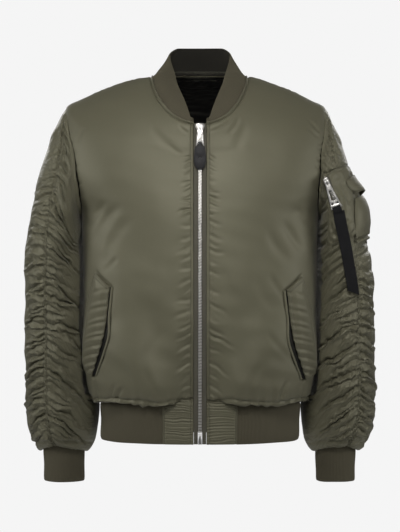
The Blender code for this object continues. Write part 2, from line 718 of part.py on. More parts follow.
def build_panel(name, sides, spans, colour=OLIVE, roughness=0.42):
    """A body panel: spans gives, for a level and the armhole's angle, the degrees of each column."""
    points, normals = [], []
    for level, psi in LEVELS:
        columns = spans(level, psi)
        points.append([torso_point(degrees, level) for degrees in columns])
        row = [edge_normal(0, degrees, level, None) for degrees in columns]
        if psi is not None:
            for column, side, angle in sides(psi):
                row[column] = edge_normal(side, columns[column], level, angle)
        normals.append(row)
    gaps = (FOLDED_GAP / 2, SEAM_GAP / 2, SEAM_GAP / 2, SEAM_GAP / 2)
    return wall(name, points, normals, CLOTH, colour, roughness, gaps)


def front_span(side):
    def span(level, psi):
        start = zip_degrees(level)
        end = 90.0 if psi is None else armhole_turn(psi)
        return [side * (start + (end - start) * share) for share in FRONT_SHARES]
    return span


def back_span(level, psi):
    start = 90.0 if psi is None else armhole_turn(360 - psi)
    return list(np.linspace(start, 360 - start, BACK_COLUMNS + 1))


def build_body():
    for name, side in (("front_left", 1), ("front_right", -1)):
        build_panel(name, lambda psi, side=side: [(-1, side, psi)], front_span(side))
    build_panel("back", lambda psi: [(0, 1, 360 - psi), (-1, -1, 360 - psi)], back_span)


def build_lining_back():
    """The black lining of the back, seen inside the neck."""
    levels = np.linspace(torso.station("high arm"), 0.985, 7)
    turns = np.linspace(118, 242, 11)
    points = [[torso_point(turn, level, -LINING_DEPTH) for turn in turns] for level in levels]
    normals = [[torso_normal(turn, level) for turn in turns] for level in levels]
    wall("lining_back", points, normals, LINING, BLACK, 0.3)


def neck_columns():
    start = zip_degrees(1)
    front = [start + (90 - start) * share for share in FRONT_SHARES]
    back = list(np.linspace(90, 270, BACK_COLUMNS + 1))[1:-1]
    return [*front, *back, *[360 - turn for turn in reversed(front)]]


def build_collar():
    shares = np.linspace(0, 1, COLLAR_STEPS + 1)
    points, normals = [], []
    for share in shares:
        points.append([collar_point(turn, share) for turn in neck_columns()])
        normals.append([collar_normal(turn, share) for turn in neck_columns()])
    normals[0] = [mitre(n, torso_normal(turn, 1)) for n, turn in zip(normals[0], neck_columns())]
    wall("collar", points, normals, RIB, RIB_OLIVE, 0.85)


def build_band():
    """The rib waistband and the two nylon tabs that join it to the zip."""
    start = zip_degrees(0)
    front = [start + (90 - start) * share for share in FRONT_SHARES]
    back = list(np.linspace(90, 270, BACK_COLUMNS + 1))[1:-1]
    rib = [*front[1:], *back, *[360 - turn for turn in reversed(front[1:])]]
    pieces = (
        ("waistband", rib, RIB_OLIVE, 0.85),
        ("hem_tab_left", front[:2], OLIVE, 0.42),
        ("hem_tab_right", [-turn for turn in front[:2]], OLIVE, 0.42),
    )
    for name, turns, colour, roughness in pieces:
        points, normals = [], []
        for share in band.stations:
            points.append([band_point(turn, share) for turn in turns])
            normals.append([band_normal(turn, share) for turn in turns])
        normals[0] = [mitre(n, torso_normal(turn, 0)) for n, turn in zip(normals[0], turns)]
        gaps = (FOLDED_GAP / 2, 0, SEAM_GAP / 2, SEAM_GAP / 2)
        wall(name, points, normals, RIB, colour, roughness, gaps)


def build_flap(name, side):
    """A slanted hand-pocket flap, lying on the front panel and rounding the side."""
    shift = FLAP_LEFT_SHIFT if side > 0 else SimpleNamespace(degrees=0.0, z=0.0)
    points, normals = [], []
    for station in np.linspace(0, 1, FLAP_STEPS + 1):
        row = flap.at(station)
        row_points, row_normals = [], []
        for share in (0.0, 0.33, 0.67, 1.0):
            degrees = side * (row.front_deg + (row.rear_deg - row.front_deg) * share + shift.degrees)
            level = body_level(row.front_z + (row.rear_z - row.front_z) * share + shift.z)
            row_points.append(torso_point(degrees, level, FLAP_LIFT + FLAP_CLOTH))
            row_normals.append(torso_normal(degrees, level))
        points.append(row_points)
        normals.append(row_normals)
    wall(name, points, normals, FLAP_CLOTH, OLIVE, 0.42, (0, 0, 0, 0))


# ------------------------------------------------------------------ sleeves

SLEEVE_PARTS = ("front", "back")


def sleeve_turns(side, part, station):
    """A sleeve piece's columns: the front piece runs from the gathered seam round to the underarm seam."""
    if station == 0:
        # The armhole's own corners, of which each piece takes half.
        first, last = (20.0, 200.0) if part == "front" else (200.0, 380.0)
    elif part == "front":
        first, last = gathered_seam(side, station), UNDERARM_SEAM
    else:
        first, last = UNDERARM_SEAM, gathered_seam(side, station) + 360
    return np.linspace(first, last, ARM_STEPS + 1)


def build_sleeve(side, word):
    low = [sleeve.station(where) for where in ("wrist", "roll out", "roll under", "cuff seam")]
    stations = [*np.linspace(0, low[0], SLEEVE_STEPS), *low[1:]]
    for part in SLEEVE_PARTS:
        points, normals = [], []
        for station in stations:
            turns = sleeve_turns(side, part, station)
            points.append([sleeve_point(side, psi, station) for psi in turns])
            normals.append([sleeve_normal(side, psi, station) for psi in turns])
        turns = sleeve_turns(side, part, 0)
        body = [torso_normal(side * armhole_turn(psi), armhole_level(psi)) for psi in turns]
        normals[0] = [mitre(own, other) for own, other in zip(normals[0], body)]
        ends = [cuff_normal(side, psi, 0) for psi in sleeve_turns(side, part, 1)]
        normals[-1] = [mitre(own, other) for own, other in zip(normals[-1], ends)]
        gaps = (ARMHOLE_GAP[side] - SEAM_GAP / 2, FOLDED_GAP / 2, SEAM_GAP / 2, SEAM_GAP / 2)
        wall(f"sleeve_{word}_{part}", points, normals, CLOTH, OLIVE, 0.42, gaps)


def build_cuff(side, word):
    turns = [psi for part in SLEEVE_PARTS for psi in sleeve_turns(side, part, 1)[:-1]]
    points, normals = [], []
    for share in cuff.stations:
        points.append([cuff_point(side, psi, share) for psi in turns])
        normals.append([cuff_normal(side, psi, share) for psi in turns])
    normals[0] = [mitre(own, sleeve_normal(side, psi, 1)) for own, psi in zip(normals[0], turns)]
    wall(f"cuff_{word}", points, normals, RIB, RIB_OLIVE, 0.85, (FOLDED_GAP / 2, 0, 0, 0), around=True)


# ------------------------------------------------------------------ front zip

def front_line():
    """Heights and depths of the jacket's front along the centre, from the hem's end up to the neck."""
    line = [(band_point(0, share)[2], band_point(0, share)[1]) for share in np.linspace(1, 0.15, 8)]
    line += [(p[2], p[1]) for p in (torso_form(0, level) for level in np.linspace(0.02, 1, 60))]
    return np.array(line)


FRONT_LINE = front_line()


def front_y(z):
    return float(np.interp(z, FRONT_LINE[:, 0], FRONT_LINE[:, 1]))


def front_slope(z):
    """The outward direction of the front at a height on the centre line."""
    step = 0.01
    lean = (front_y(z + step) - front_y(z - step)) / (2 * step)
    return unit(np.array([0.0, -1.0, lean]))


ZIP_TOP = -0.0955
ZIP_END = -0.6532
SLIDER_Z = ZIP_TOP - SLIDER_LONG / 2


def build_zip():
    heights = np.linspace(ZIP_TOP, ZIP_END, 20)
    for name, side in (("zip_tape_left", 1), ("zip_tape_right", -1)):
        points, normals = [], []
        for z in heights:
            out = front_slope(z)
            middle = np.array([0, front_y(z), z]) - out * TAPE_RECESS
            points.append([middle + (side * x, 0, 0) for x in (CHAIN_HALF + SEAM_GAP, ZIP_HALF - SEAM_GAP)])
            normals.append([out, out])
        wall(name, points, normals, TAPE, TAPE_GREY, 0.8, (0, 0, 0, 0))
    chain = np.linspace(SLIDER_Z - SLIDER_LONG / 2 - SEAM_GAP, ZIP_END + BOX_LONG + SEAM_GAP, 18)
    points, normals = [], []
    for z in chain:
        out = front_slope(z)
        middle = np.array([0, front_y(z), z]) + out * 0.0006
        points.append([middle + (x, 0, 0) for x in (-CHAIN_HALF, CHAIN_HALF)])
        normals.append([out, out])
    wall("zip_chain", points, normals, CHAIN_THICK, SILVER, 0.35, (0, 0, 0, 0))


def on_cloth(point, down, out):
    """A placing whose X runs across, Y up and Z out of the cloth."""
    out = unit(np.array(out, float))
    up = -np.array(down, float)
    up = unit(up - out * np.dot(up, out))
    across = np.cross(up, out)
    return Matrix([
        (across[0], up[0], out[0], point[0]),
        (across[1], up[1], out[1], point[1]),
        (across[2], up[2], out[2], point[2]),
        (0, 0, 0, 1),
    ])


def add_bridge(slider, material, world, foot):
    """The small arch on a slider that the pull's bar turns in."""
    half = BRIDGE.long / 2
    outline = [(-half, foot), (-half, BRIDGE.high * 0.7), (-half * 0.6, BRIDGE.high),
               (half * 0.6, BRIDGE.high), (half, BRIDGE.high * 0.7), (half, foot)]
    hole = [(-BRIDGE.bore / 2, BRIDGE.floor), (-BRIDGE.bore / 2, BRIDGE.roof),
            (BRIDGE.bore / 2, BRIDGE.roof), (BRIDGE.bore / 2, BRIDGE.floor)]
    arch = prism(slider.name + "_bridge", outline, [hole], -BRIDGE.half, BRIDGE.half, material, world, "YZ")
    join(slider, arch)


def pull_window():
    """The opening just below a pull's bar, which the bridge passes through."""
    return [(0.0019, -0.0010), (0.0019, -0.0068), (-0.0019, -0.0068), (-0.0019, -0.0010)]


def build_slider_and_pull():
    silver = finish("zip_slider", SILVER, 0.28, 1.0)
    z = SLIDER_Z
    out = front_slope(z)
    down = np.cross(out, (1, 0, 0))
    down = down if down[2] < 0 else -down
    face = np.array([0, front_y(z), z]) + out * 0.0042
    world = on_cloth(face, down, out)
    half = SLIDER_LONG / 2
    outline = both_ways([(0.0066, half), (0.0087, half * 0.55), (0.0078, half * 0.1), (0.0058, -half * 0.45),
                         (0.0056, -half)])
    slider = prism("zip_slider", outline, [], -0.0040, 0.0, silver, world)
    add_bridge(slider, silver, world, -0.0010)

    # The pull hangs from the bridge and lies just in front of the chest.
    pin = face + out * ((BRIDGE.floor + BRIDGE.roof) / 2)
    foot_z = pin[2] - TAG.long
    foot = np.array([0, front_y(foot_z) - 0.0040, foot_z])
    lie = unit(foot - pin)
    forward = np.cross(lie, (1, 0, 0))
    forward = forward if forward[1] < 0 else -forward
    hang = on_cloth(pin, lie, forward)
    metal = finish("zip_pull", SILVER, 0.25, 1.0)
    edge = both_ways([
        (PULL.eye_half - 0.0008, 0.0012), (PULL.eye_half, 0.0004), (PULL.waist_half, -PULL.waist),
        (PULL.foot_half, -PULL.long), (PULL.foot_half - 0.0016, -PULL.long - 0.0004),
        (PULL.arch_half, -PULL.long + 0.0024), (PULL.arch_half * 0.80, -PULL.long + PULL.arch * 0.75),
        (PULL.arch_half * 0.35, -PULL.long + PULL.arch),
    ])
    prism("zip_pull", edge, [pull_window()], -PULL.thick / 2, PULL.thick / 2, metal, hang)
    leather = finish("zip_tag", LEATHER, 0.55)
    outline = both_ways([
        (TAG.neck_half * 0.5, -TAG.top - 0.0010), (TAG.neck_half * 0.9, -TAG.top - 0.0045),
        (TAG.neck_half, -TAG.shoulder + 0.0006), (TAG.shoulder_half, -TAG.shoulder),
        (TAG.wide_half - 0.0012, -TAG.wide + 0.0110), (TAG.wide_half, -TAG.wide),
        (TAG.wide_half - 0.0022, -TAG.wide - 0.0085), (TAG.end_half, -TAG.long),
    ])
    hole = arc_ring(0, -0.0535, 0.0010)
    prism("zip_tag", outline, [hole], -TAG.thick / 2, TAG.thick / 2, leather, hang)


def build_zip_box():
    """The pin and box at the zip's foot: two short rods side by side in a retainer."""
    z = ZIP_END + BOX_LONG / 2
    out = front_slope(z)
    down = np.array([0, 0, -1.0])
    world = on_cloth(np.array([0, front_y(z), z]) + out * 0.0006, down, out)
    half = BOX_LONG / 2
    rods = both_ways([
        (0.0006, half), (0.0020, half), (0.0026, half * 0.4), (0.0030, -half * 0.3), (0.0030, -half * 0.9),
        (0.0026, -half), (0.0008, -half), (0.0006, -half * 0.9),
    ])
    prism("zip_box", rods, [], -0.0030, 0.0010, finish("zip_box", SILVER, 0.3, 1.0), world)


# ------------------------------------------------------------------ left sleeve's pocket

def sleeve_piece(name, table, lift, thickness, rows, columns):
    """A piece that lies on the left sleeve, puffed up along its middle where its table says so."""
    points, normals = [], []
    for place in np.linspace(0, 1, rows + 1):
        row = table.at(place)
        first, last = outer_station(row.first_z), outer_station(row.last_z)
        row_points, row_normals = [], []
        for share in np.linspace(0, 1, columns + 1):
            psi = row.first_deg + (row.last_deg - row.first_deg) * share
            station = first + (last - first) * share
            swell = row.bulge * math.sin(math.pi * share) ** 0.7
            row_points.append(sleeve_point(1, psi, station, lift + thickness + swell))
            row_normals.append(sleeve_normal(1, psi, station))
        points.append(row_points)
        normals.append(row_normals)
    wall(name, points, normals, thickness, OLIVE, 0.42, (0, 0, 0, 0))


PATCH_LIFT = 0.0026
PATCH_CLOTH = 0.0014


def build_sleeve_pocket():
    sleeve_piece("sleeve_pocket", patch, PATCH_LIFT, PATCH_CLOTH, 7, 11)
    on_patch = PATCH_LIFT + PATCH_CLOTH + 0.0008
    sleeve_piece("pen_pocket", pen_pocket, on_patch, 0.0014, 5, 7)
    sleeve_piece("pen_flap", pen_flap, on_patch, 0.0014, 4, 7)
    points, normals = [], []
    line = SLEEVE_ZIP
    for share in np.linspace(0, 1, 7):
        x = line.top_x + (line.end_x - line.top_x) * share
        z = line.top_z + (line.end_z - line.top_z) * share
        psi, station = sleeve_spot(1, x, z)
        middle = sleeve_point(1, psi, station, on_patch + TAPE)
        out = sleeve_normal(1, psi, station)
        along = np.array([line.end_x - line.top_x, 0, line.end_z - line.top_z])
        across = unit(np.cross(along, out))
        points.append([middle - across * line.half, middle + across * line.half])
        normals.append([out, out])
    wall("sleeve_zip", points, normals, TAPE, TAPE_GREY, 0.8, (0, 0, 0, 0))


def build_sleeve_pull():
    """The sleeve zip's slider, its ladder-shaped pull and the ribbon looped through the pull's foot."""
    silver = finish("sleeve_zip_slider", SILVER, 0.28, 1.0)
    top_psi, top_station = sleeve_spot(1, SLEEVE_PULL.top_x, SLEEVE_PULL.top_z)
    foot_psi, foot_station = sleeve_spot(1, SLEEVE_PULL.foot_x, SLEEVE_PULL.foot_z)
    base = PATCH_LIFT + PATCH_CLOTH + TAPE + 0.0012
    top = sleeve_point(1, top_psi, top_station, base)
    foot = sleeve_point(1, foot_psi, foot_station, base)
    out = unit(sleeve_normal(1, top_psi, top_station) + sleeve_normal(1, foot_psi, foot_station))
    down = unit(foot - top)
    face = top + out * SLEEVE_PULL.slider_height
    world = on_cloth(face, down, out)
    outline = both_ways([(0.0034, 0.0062), (0.0046, 0.0040), (0.0036, -0.0020), (0.0034, -0.0060)])
    slider = prism("sleeve_zip_slider", outline, [], -0.0030, 0.0, silver, world)
    add_bridge(slider, silver, world, -0.0010)

    pin = face + np.array(world.col[2][:3]) * ((BRIDGE.floor + BRIDGE.roof) / 2)
    hang = on_cloth(pin, down, out)
    metal = finish("sleeve_pull", SILVER, 0.25, 1.0)
    long = LADDER.long
    edge = both_ways([
        (LADDER.eye_half - 0.0008, 0.0012), (LADDER.eye_half, 0.0004), (LADDER.top_half, -0.0080),
        (LADDER.foot_half - 0.0012, -long * 0.90), (LADDER.foot_half, -long + 0.0008), (LADDER.foot_half, -long),
    ])
    windows = [
        pull_window(),
        both_ways([(0.0018, -long * 0.42), (0.0036, -long * 0.70)]),
        both_ways([(LADDER.foot_half - 0.0030, -long * 0.925), (LADDER.foot_half - 0.0026, -long * 0.965)]),
        arc_ring(0.0052, -long * 0.815, 0.0014),
        arc_ring(-0.0052, -long * 0.815, 0.0014),
    ]
    prism("sleeve_pull", edge, windows, -LADDER.thick / 2, LADDER.thick / 2, metal, hang)

    points, normals = [], []
    stations = np.linspace(0, 1, 9)
    for share in stations:
        row = ribbon_line.at(share)
        ahead = ribbon_line.at(min(share + 0.02, 1))
        behind = ribbon_line.at(max(share - 0.02, 0))
        psi, station = sleeve_spot(1, row.x, row.z)
        lift = RIBBON.lift + (RIBBON.end_lift - RIBBON.lift) * share
        middle = sleeve_point(1, psi, station, lift)
        normal = sleeve_normal(1, psi, station)
        along = np.array([ahead.x - behind.x, 0, ahead.z - behind.z])
        across = unit(np.cross(along, normal))
        points.append([middle - across * RIBBON.half, middle + across * RIBBON.half])
        normals.append([normal, normal])
    wall("sleeve_ribbon", points, normals, RIBBON.thick, RIBBON_BLACK, 0.8, (0, 0, 0, 0))


def build_jacket():
    clear_scene()
    build_body()
    build_lining_back()
    build_collar()
    build_band()
    build_flap("pocket_flap_left", 1)
    build_flap("pocket_flap_right", -1)
    for side, word in ((1, "left"), (-1, "right")):
        build_sleeve(side, word)
        build_cuff(side, word)
    build_zip()
    build_slider_and_pull()
    build_zip_box()
    build_sleeve_pocket()
    build_sleeve_pull()


build_jacket()
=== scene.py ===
# %% [markdown]
# # A padded nylon bomber jacket
# This notebook dresses a finished construction model. Every piece that a maker would cut is already there as a plain
# solid with the right size and place, and here each one gets its own fine cloth surface, seams, knit, metal and
# leather. The pieces are worked out from the same sections as the solids, so nothing has to be fitted afterwards.

# %% The frame
import math
from types import SimpleNamespace

import bmesh
import bpy
import numpy as np
from mathutils import Matrix, Vector


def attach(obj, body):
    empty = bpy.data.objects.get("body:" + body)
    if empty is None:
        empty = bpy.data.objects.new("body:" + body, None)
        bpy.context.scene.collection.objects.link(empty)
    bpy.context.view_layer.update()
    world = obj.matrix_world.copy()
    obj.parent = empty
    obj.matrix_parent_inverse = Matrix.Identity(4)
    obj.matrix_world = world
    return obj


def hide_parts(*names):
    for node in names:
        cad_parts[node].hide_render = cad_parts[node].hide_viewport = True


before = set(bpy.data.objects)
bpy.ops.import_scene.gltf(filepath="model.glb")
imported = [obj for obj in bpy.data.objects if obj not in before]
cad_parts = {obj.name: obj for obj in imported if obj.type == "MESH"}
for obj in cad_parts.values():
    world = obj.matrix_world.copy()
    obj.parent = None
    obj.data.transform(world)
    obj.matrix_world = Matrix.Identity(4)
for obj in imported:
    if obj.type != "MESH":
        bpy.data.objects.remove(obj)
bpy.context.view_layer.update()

# %% [markdown]
# ## Camera and light
# The jacket is seen straight from the front, at the height of its middle, with a long lens so that it stays free of
# perspective. One large soft light stands a little above the camera, which is what lets padded cloth show its swells:
# the chest catches it and the shoulders, which face upwards, and the hem, which is further away, do not.

# %% Camera
CAMERA_AWAY = 3.1
CAMERA_HEIGHT = -0.344
VIEW_WIDTH = 0.72  # metres seen across at the jacket's middle
SENSOR = 36.0


def add_object(name, data):
    added = bpy.data.objects.new(name, data)
    bpy.context.scene.collection.objects.link(added)
    return added


camera = add_object("camera", bpy.data.cameras.new("camera"))
camera.location = (0, -CAMERA_AWAY, CAMERA_HEIGHT)
camera.rotation_euler = (math.radians(90), 0, 0)
camera.data.sensor_fit = "HORIZONTAL"
camera.data.sensor_width = SENSOR
camera.data.lens = SENSOR * CAMERA_AWAY / VIEW_WIDTH
bpy.context.scene.camera = camera
bpy.context.scene.view_settings.view_transform = "Standard"
print("lens:", round(camera.data.lens), "mm")

# %% Lights, backdrop and floor
PALE = 0.913  # how bright the backdrop looks
LIGHT_COLUMNS = ("name", "place", "target", "size", "watts", "spread", "colour")
LIGHTS = (
    ("key", (-0.08, -1.85, 1.25), (0.0, 0.0, -0.44), 0.5, 5.2, 90, (1.0, 0.982, 0.970)),
    ("chest", (0.0, -1.60, 0.35), (0.0, 0.0, -0.25), 0.4, 0.38, 32, (1.0, 0.985, 0.97)),
    ("fill", (0.3, -2.6, -0.5), (0.0, 0.0, -0.50), 1.2, 3.0, 180, (0.99, 0.99, 1.0)),
    ("back left", (1.1, 2.1, 0.6), (0.0, 0.10, -0.38), 0.9, 11.0, 180, (1.0, 0.99, 0.97)),
    ("back right", (-1.1, 2.1, 0.6), (0.0, 0.10, -0.38), 0.9, 11.0, 180, (1.0, 0.99, 0.97)),
    ("left edge", (-1.5, -0.45, 0.0), (-0.25, 0.0, -0.50), 0.6, 8.6, 180, (1.0, 1.0, 0.99)),
    ("right edge", (1.5, -0.45, -0.1), (0.25, 0.0, -0.50), 0.6, 6.4, 180, (1.0, 1.0, 0.99)),
)
AMBIENT = 0.115
JACKET_FOOT, FLOOR_DROP = -0.734, 0.22  # where the cuffs end, and how far below that the floor lies
FLOOR_RADIUS = 0.72


def add_light(light):
    lamp = bpy.data.lights.new(light.name, "AREA")
    lamp.energy, lamp.size, lamp.color = light.watts, light.size, light.colour
    lamp.spread = math.radians(light.spread)
    obj = add_object(light.name, lamp)
    obj.location = light.place
    toward = Vector(light.target) - Vector(light.place)
    obj.rotation_euler = toward.to_track_quat("-Z", "Y").to_euler()


def add_world():
    """A pale backdrop on every side, which lights the jacket less brightly than it looks."""
    world = bpy.data.worlds.new("studio")
    world.use_nodes = True
    tree = world.node_tree
    tree.nodes.clear()
    seen = tree.nodes.new("ShaderNodeLightPath")
    shown, lit = tree.nodes.new("ShaderNodeBackground"), tree.nodes.new("ShaderNodeBackground")
    shown.inputs["Strength"].default_value = PALE
    lit.inputs["Strength"].default_value = AMBIENT
    for background in (shown, lit):
        background.inputs["Color"].default_value = (1, 1, 1, 1)
    mix, output = tree.nodes.new("ShaderNodeMixShader"), tree.nodes.new("ShaderNodeOutputWorld")
    tree.links.new(seen.outputs["Is Camera Ray"], mix.inputs[0])
    tree.links.new(lit.outputs[0], mix.inputs[1])
    tree.links.new(shown.outputs[0], mix.inputs[2])
    tree.links.new(mix.outputs[0], output.inputs["Surface"])
    bpy.context.scene.world = world


for row in LIGHTS:
    add_light(SimpleNamespace(**dict(zip(LIGHT_COLUMNS, row))))
add_world()
print("lights:", len(LIGHTS), "and a pale backdrop")

# %% [markdown]
# ## Materials as arithmetic
# A material's pattern is arithmetic on textures. Wrapping a socket in a small class lets us write `0.4 + 0.1 * grain`
# in Python and get the Math nodes for it. Colours never pass through a Math node, which would turn them grey: they
# are mixed instead. Only the few sockets that can be baked into a picture get a pattern.

# %% The material tools
class Wire:
    """One value in a material. Arithmetic on it adds Math nodes."""

    def __init__(self, finish, socket):
        self.finish, self.socket = finish, socket

    def math(self, operation, *values):
        return self.finish.node("ShaderNodeMath", {"operation": operation}, dict(enumerate(values)))

    def __add__(self, other):
        return self.math("ADD", self, other)

    def __sub__(self, other):
        return self.math("SUBTRACT", self, other)

    def __rsub__(self, other):
        return self.math("SUBTRACT", other, self)

    def __mul__(self, other):
        return self.math("MULTIPLY", self, other)

    __radd__, __rmul__ = __add__, __mul__


class Finish:
    """A material around one Principled shader."""

    def __init__(self, name, **constants):
        self.material = bpy.data.materials.new(name)
        self.material.use_nodes = True
        self.tree = self.material.node_tree
        self.shader = self.tree.nodes["Principled BSDF"]
        for socket, value in constants.items():
            self.set(socket.replace("_", " "), value)

    def set(self, socket, value):
        self.join(self.shader.inputs[socket], value)

    def join(self, socket, value):
        if isinstance(value, Wire):
            self.tree.links.new(value.socket, socket)
        elif socket.type == "RGBA":
            socket.default_value = (*value, 1.0)
        else:
            socket.default_value = value

    def node(self, kind, settings=None, inputs=None, output=0):
        made = self.tree.nodes.new(kind)
        for name, value in (settings or {}).items():
            setattr(made, name, value)
        for name, value in (inputs or {}).items():
            self.join(made.inputs[name], value)
        return Wire(self, made.outputs[output])

    def cloth_place(self):
        """Where we are on the cloth itself, in metres across and along it."""
        return self.node("ShaderNodeUVMap", {"uv_map": "cloth"})

    def place(self):
        return self.node("ShaderNodeTexCoord", output="Object")

    def noise(self, place, size, detail=2.0):
        inputs = {"Vector": place, "Scale": 1 / size, "Detail": detail}
        return self.node("ShaderNodeTexNoise", inputs=inputs)

    def bands(self, place, pitch, direction="X"):
        settings = {"wave_type": "BANDS", "bands_direction": direction, "wave_profile": "SIN"}
        return self.node("ShaderNodeTexWave", settings, {"Vector": place, "Scale": WAVE_UNIT / pitch})

    def mix(self, share, first, second):
        """Two colours mixed."""
        inputs = {0: share, 6: first, 7: second}
        return self.node("ShaderNodeMix", {"data_type": "RGBA"}, inputs, output=2)

    def bump(self, height, depth, strength=1.0):
        inputs = {"Height": height, "Distance": depth, "Strength": strength}
        self.set("Normal", self.node("ShaderNodeBump", inputs=inputs))


WAVE_UNIT = math.pi / 10  # a wave texture of this scale has one band a metre


# %% [markdown]
# The face fabric is a nylon satin: a faint diagonal twill, a broad soft shine and very slight differences in shade
# where the wadding behind it is thicker. The rib knit is duller and darker, the lining is a black taffeta, the ribbon
# and the zip tapes are woven narrow goods, and the metal is nickel-plated.

# %% The finishes
OLIVE, OLIVE_DEEP = (0.109, 0.104, 0.069), (0.090, 0.086, 0.056)
# The sleeves' olive is the body's olive made lighter: painted light on the sleeves.
SLEEVE_OLIVE_LIT, SLEEVE_DEEP_LIT = (0.124, 0.119, 0.079), (0.102, 0.097, 0.063)
RIB_OLIVE, RIB_DEEP = (0.077, 0.069, 0.043), (0.055, 0.049, 0.031)
BLACK, BLACK_WORN = (0.0020, 0.0020, 0.0022), (0.0045, 0.0045, 0.0048)
TAPE_GREY, TAPE_DEEP = (0.106, 0.100, 0.074), (0.064, 0.060, 0.044)
SILVER, SILVER_WORN = (0.48, 0.47, 0.45), (0.30, 0.295, 0.28)
TOOTH_SILVER, TOOTH_WORN = (0.78, 0.76, 0.73), (0.60, 0.59, 0.56)
LEATHER, LEATHER_DEEP = (0.012, 0.012, 0.013), (0.006, 0.006, 0.007)
RIBBON_BLACK, RIBBON_DEEP = (0.0075, 0.0075, 0.0085), (0.0035, 0.0035, 0.0042)
# The thread is much darker than the cloth: painted shade of the holes that the stitches pull.
THREAD_SHADE, THREAD_SHADE_DEEP = (0.044, 0.042, 0.029), (0.024, 0.023, 0.016)


def nylon_satin(name, light, deep, roughness, index=1.5, crinkle=0.0):
    finish = Finish(name, Sheen_Weight=0.06, Sheen_Roughness=0.4, IOR=index, Specular_Tint=(0.92, 0.90, 0.72))
    cloth, place = finish.cloth_place(), finish.place()
    cloudy = finish.noise(place, 0.09, 3)
    grain = finish.noise(place, 0.006, 2)
    twill = finish.bands(cloth, 0.0007, "DIAGONAL")
    finish.set("Base Color", finish.mix(cloudy * 0.7 + grain * 0.3, deep, light))
    finish.set("Roughness", cloudy * 0.08 + (roughness - 0.04))
    if crinkle:
        across = finish.node("ShaderNodeMapping", inputs={"Vector": cloth, "Scale": (0.24, 1.0, 1.0)})
        creased = finish.noise(across, 0.0062, 2) * finish.noise(place, 0.045, 1)
        finish.bump((twill * 0.35 + grain) * 0.05 + creased, crinkle)
    else:
        finish.bump(twill * 0.35 + grain, 0.00012, 0.5)
    return finish.material


def rib_knit(name, light, deep):
    finish = Finish(name, Sheen_Weight=0.10, Sheen_Roughness=0.5, Sheen_Tint=(0.95, 0.86, 0.60), IOR=1.4)
    cloth, place = finish.cloth_place(), finish.place()
    fuzz = finish.noise(place, 0.0018, 3)
    courses = finish.bands(cloth, 0.0016, "Y")
    finish.set("Base Color", finish.mix(fuzz * 0.7 + courses * 0.3, deep, light))
    finish.set("Roughness", 0.80 + fuzz * 0.12)
    finish.bump(courses * 0.6 + fuzz, 0.00022, 0.7)
    return finish.material


def woven(name, light, deep, pitch, roughness, index=1.45):
    """Narrow woven goods: fine ribs across and a grain along."""
    finish = Finish(name, IOR=index)
    cloth = finish.cloth_place()
    ribs = finish.bands(cloth, pitch, "Y")
    grain = finish.bands(cloth, pitch * 0.8, "X")
    worn = finish.noise(finish.place(), 0.004, 3)
    finish.set("Base Color", finish.mix(ribs * 0.4 + worn * 0.6, deep, light))
    finish.set("Roughness", roughness + worn * 0.1)
    finish.bump(ribs + grain * 0.5, 0.00022, 0.8)
    return finish.material


def nickel(name, light, worn_light, roughness):
    finish = Finish(name, Metallic=1.0)
    place = finish.place()
    worn, scratches = finish.noise(place, 0.003, 4), finish.noise(place, 0.0006, 2)
    finish.set("Base Color", finish.mix(worn, worn_light, light))
    finish.set("Roughness", roughness + worn * 0.14)
    finish.bump(scratches, 0.00003, 0.5)
    return finish.material


def grained_leather():
    finish = Finish("leather", IOR=1.32)
    place = finish.place()
    pores = finish.node("ShaderNodeTexVoronoi", inputs={"Vector": place, "Scale": 1 / 0.0011})
    shade = finish.noise(place, 0.006, 3)
    finish.set("Base Color", finish.mix(shade, LEATHER_DEEP, LEATHER))
    finish.set("Roughness", 0.46 + shade * 0.16)
    finish.bump(pores * 0.8 + shade * 0.3, 0.00016, 0.7)
    return finish.material


nylon = nylon_satin("olive nylon", OLIVE, OLIVE_DEEP, 0.52)
# The sleeves' nylon: crinkled, and painted lighter than the body's to stand for light.
gathered_lit_nylon = nylon_satin("olive nylon, gathered", SLEEVE_OLIVE_LIT, SLEEVE_DEEP_LIT, 0.43, crinkle=0.0064)
lining = nylon_satin("black lining", BLACK_WORN, BLACK, 0.40, 1.28)
neck_tape_cloth = nylon_satin("neck tape", (0.050, 0.049, 0.038), (0.036, 0.035, 0.027), 0.5)
knit = rib_knit("rib knit", RIB_OLIVE, RIB_DEEP)
# The collar's inner face: the same rib knit made far darker, painted shade inside the collar.
knit_painted_shade = rib_knit("rib knit, wrong side", (0.013, 0.012, 0.008), (0.009, 0.008, 0.005))
zip_cloth = woven("zip tape", TAPE_GREY, TAPE_DEEP, 0.0009, 0.72)
ribbon_cloth = woven("black ribbon", RIBBON_BLACK, RIBBON_DEEP, 0.0010, 0.62, 1.3)
# Dark thread: painted shade of the stitch holes.
thread = woven("thread", THREAD_SHADE, THREAD_SHADE_DEEP, 0.0006, 0.55)
bright_metal = nickel("bright nickel", SILVER, SILVER_WORN, 0.24)
tooth_metal = nickel("zip teeth", TOOTH_SILVER, TOOTH_WORN, 0.36)
leather = grained_leather()
print("finishes:", len(bpy.data.materials))

# %% [markdown]
# ## Smooth curves through short tables
# The jacket's form is written as a few level sections. A row gives the width, the depth and the height of one
# section, in millimetres, and the curve through the rows never overshoots them. Everything works on whole arrays at
# once, so a surface of fifty thousand points costs no more effort to write than one point.

# %% Helpers for forms
def smoothstep(low, high, value):
    share = np.clip((value - low) / (high - low), 0.0, 1.0)
    return share * share * (3 - 2 * share)


def bell(value, middle, width):
    return np.exp(-(((value - middle) / width) ** 2))


def unit(vectors):
    return vectors / np.maximum(np.linalg.norm(vectors, axis=-1, keepdims=True), 1e-12)


def xyz(x, y, z):
    return np.stack(np.broadcast_arrays(x, y, z), axis=-1).astype(float)


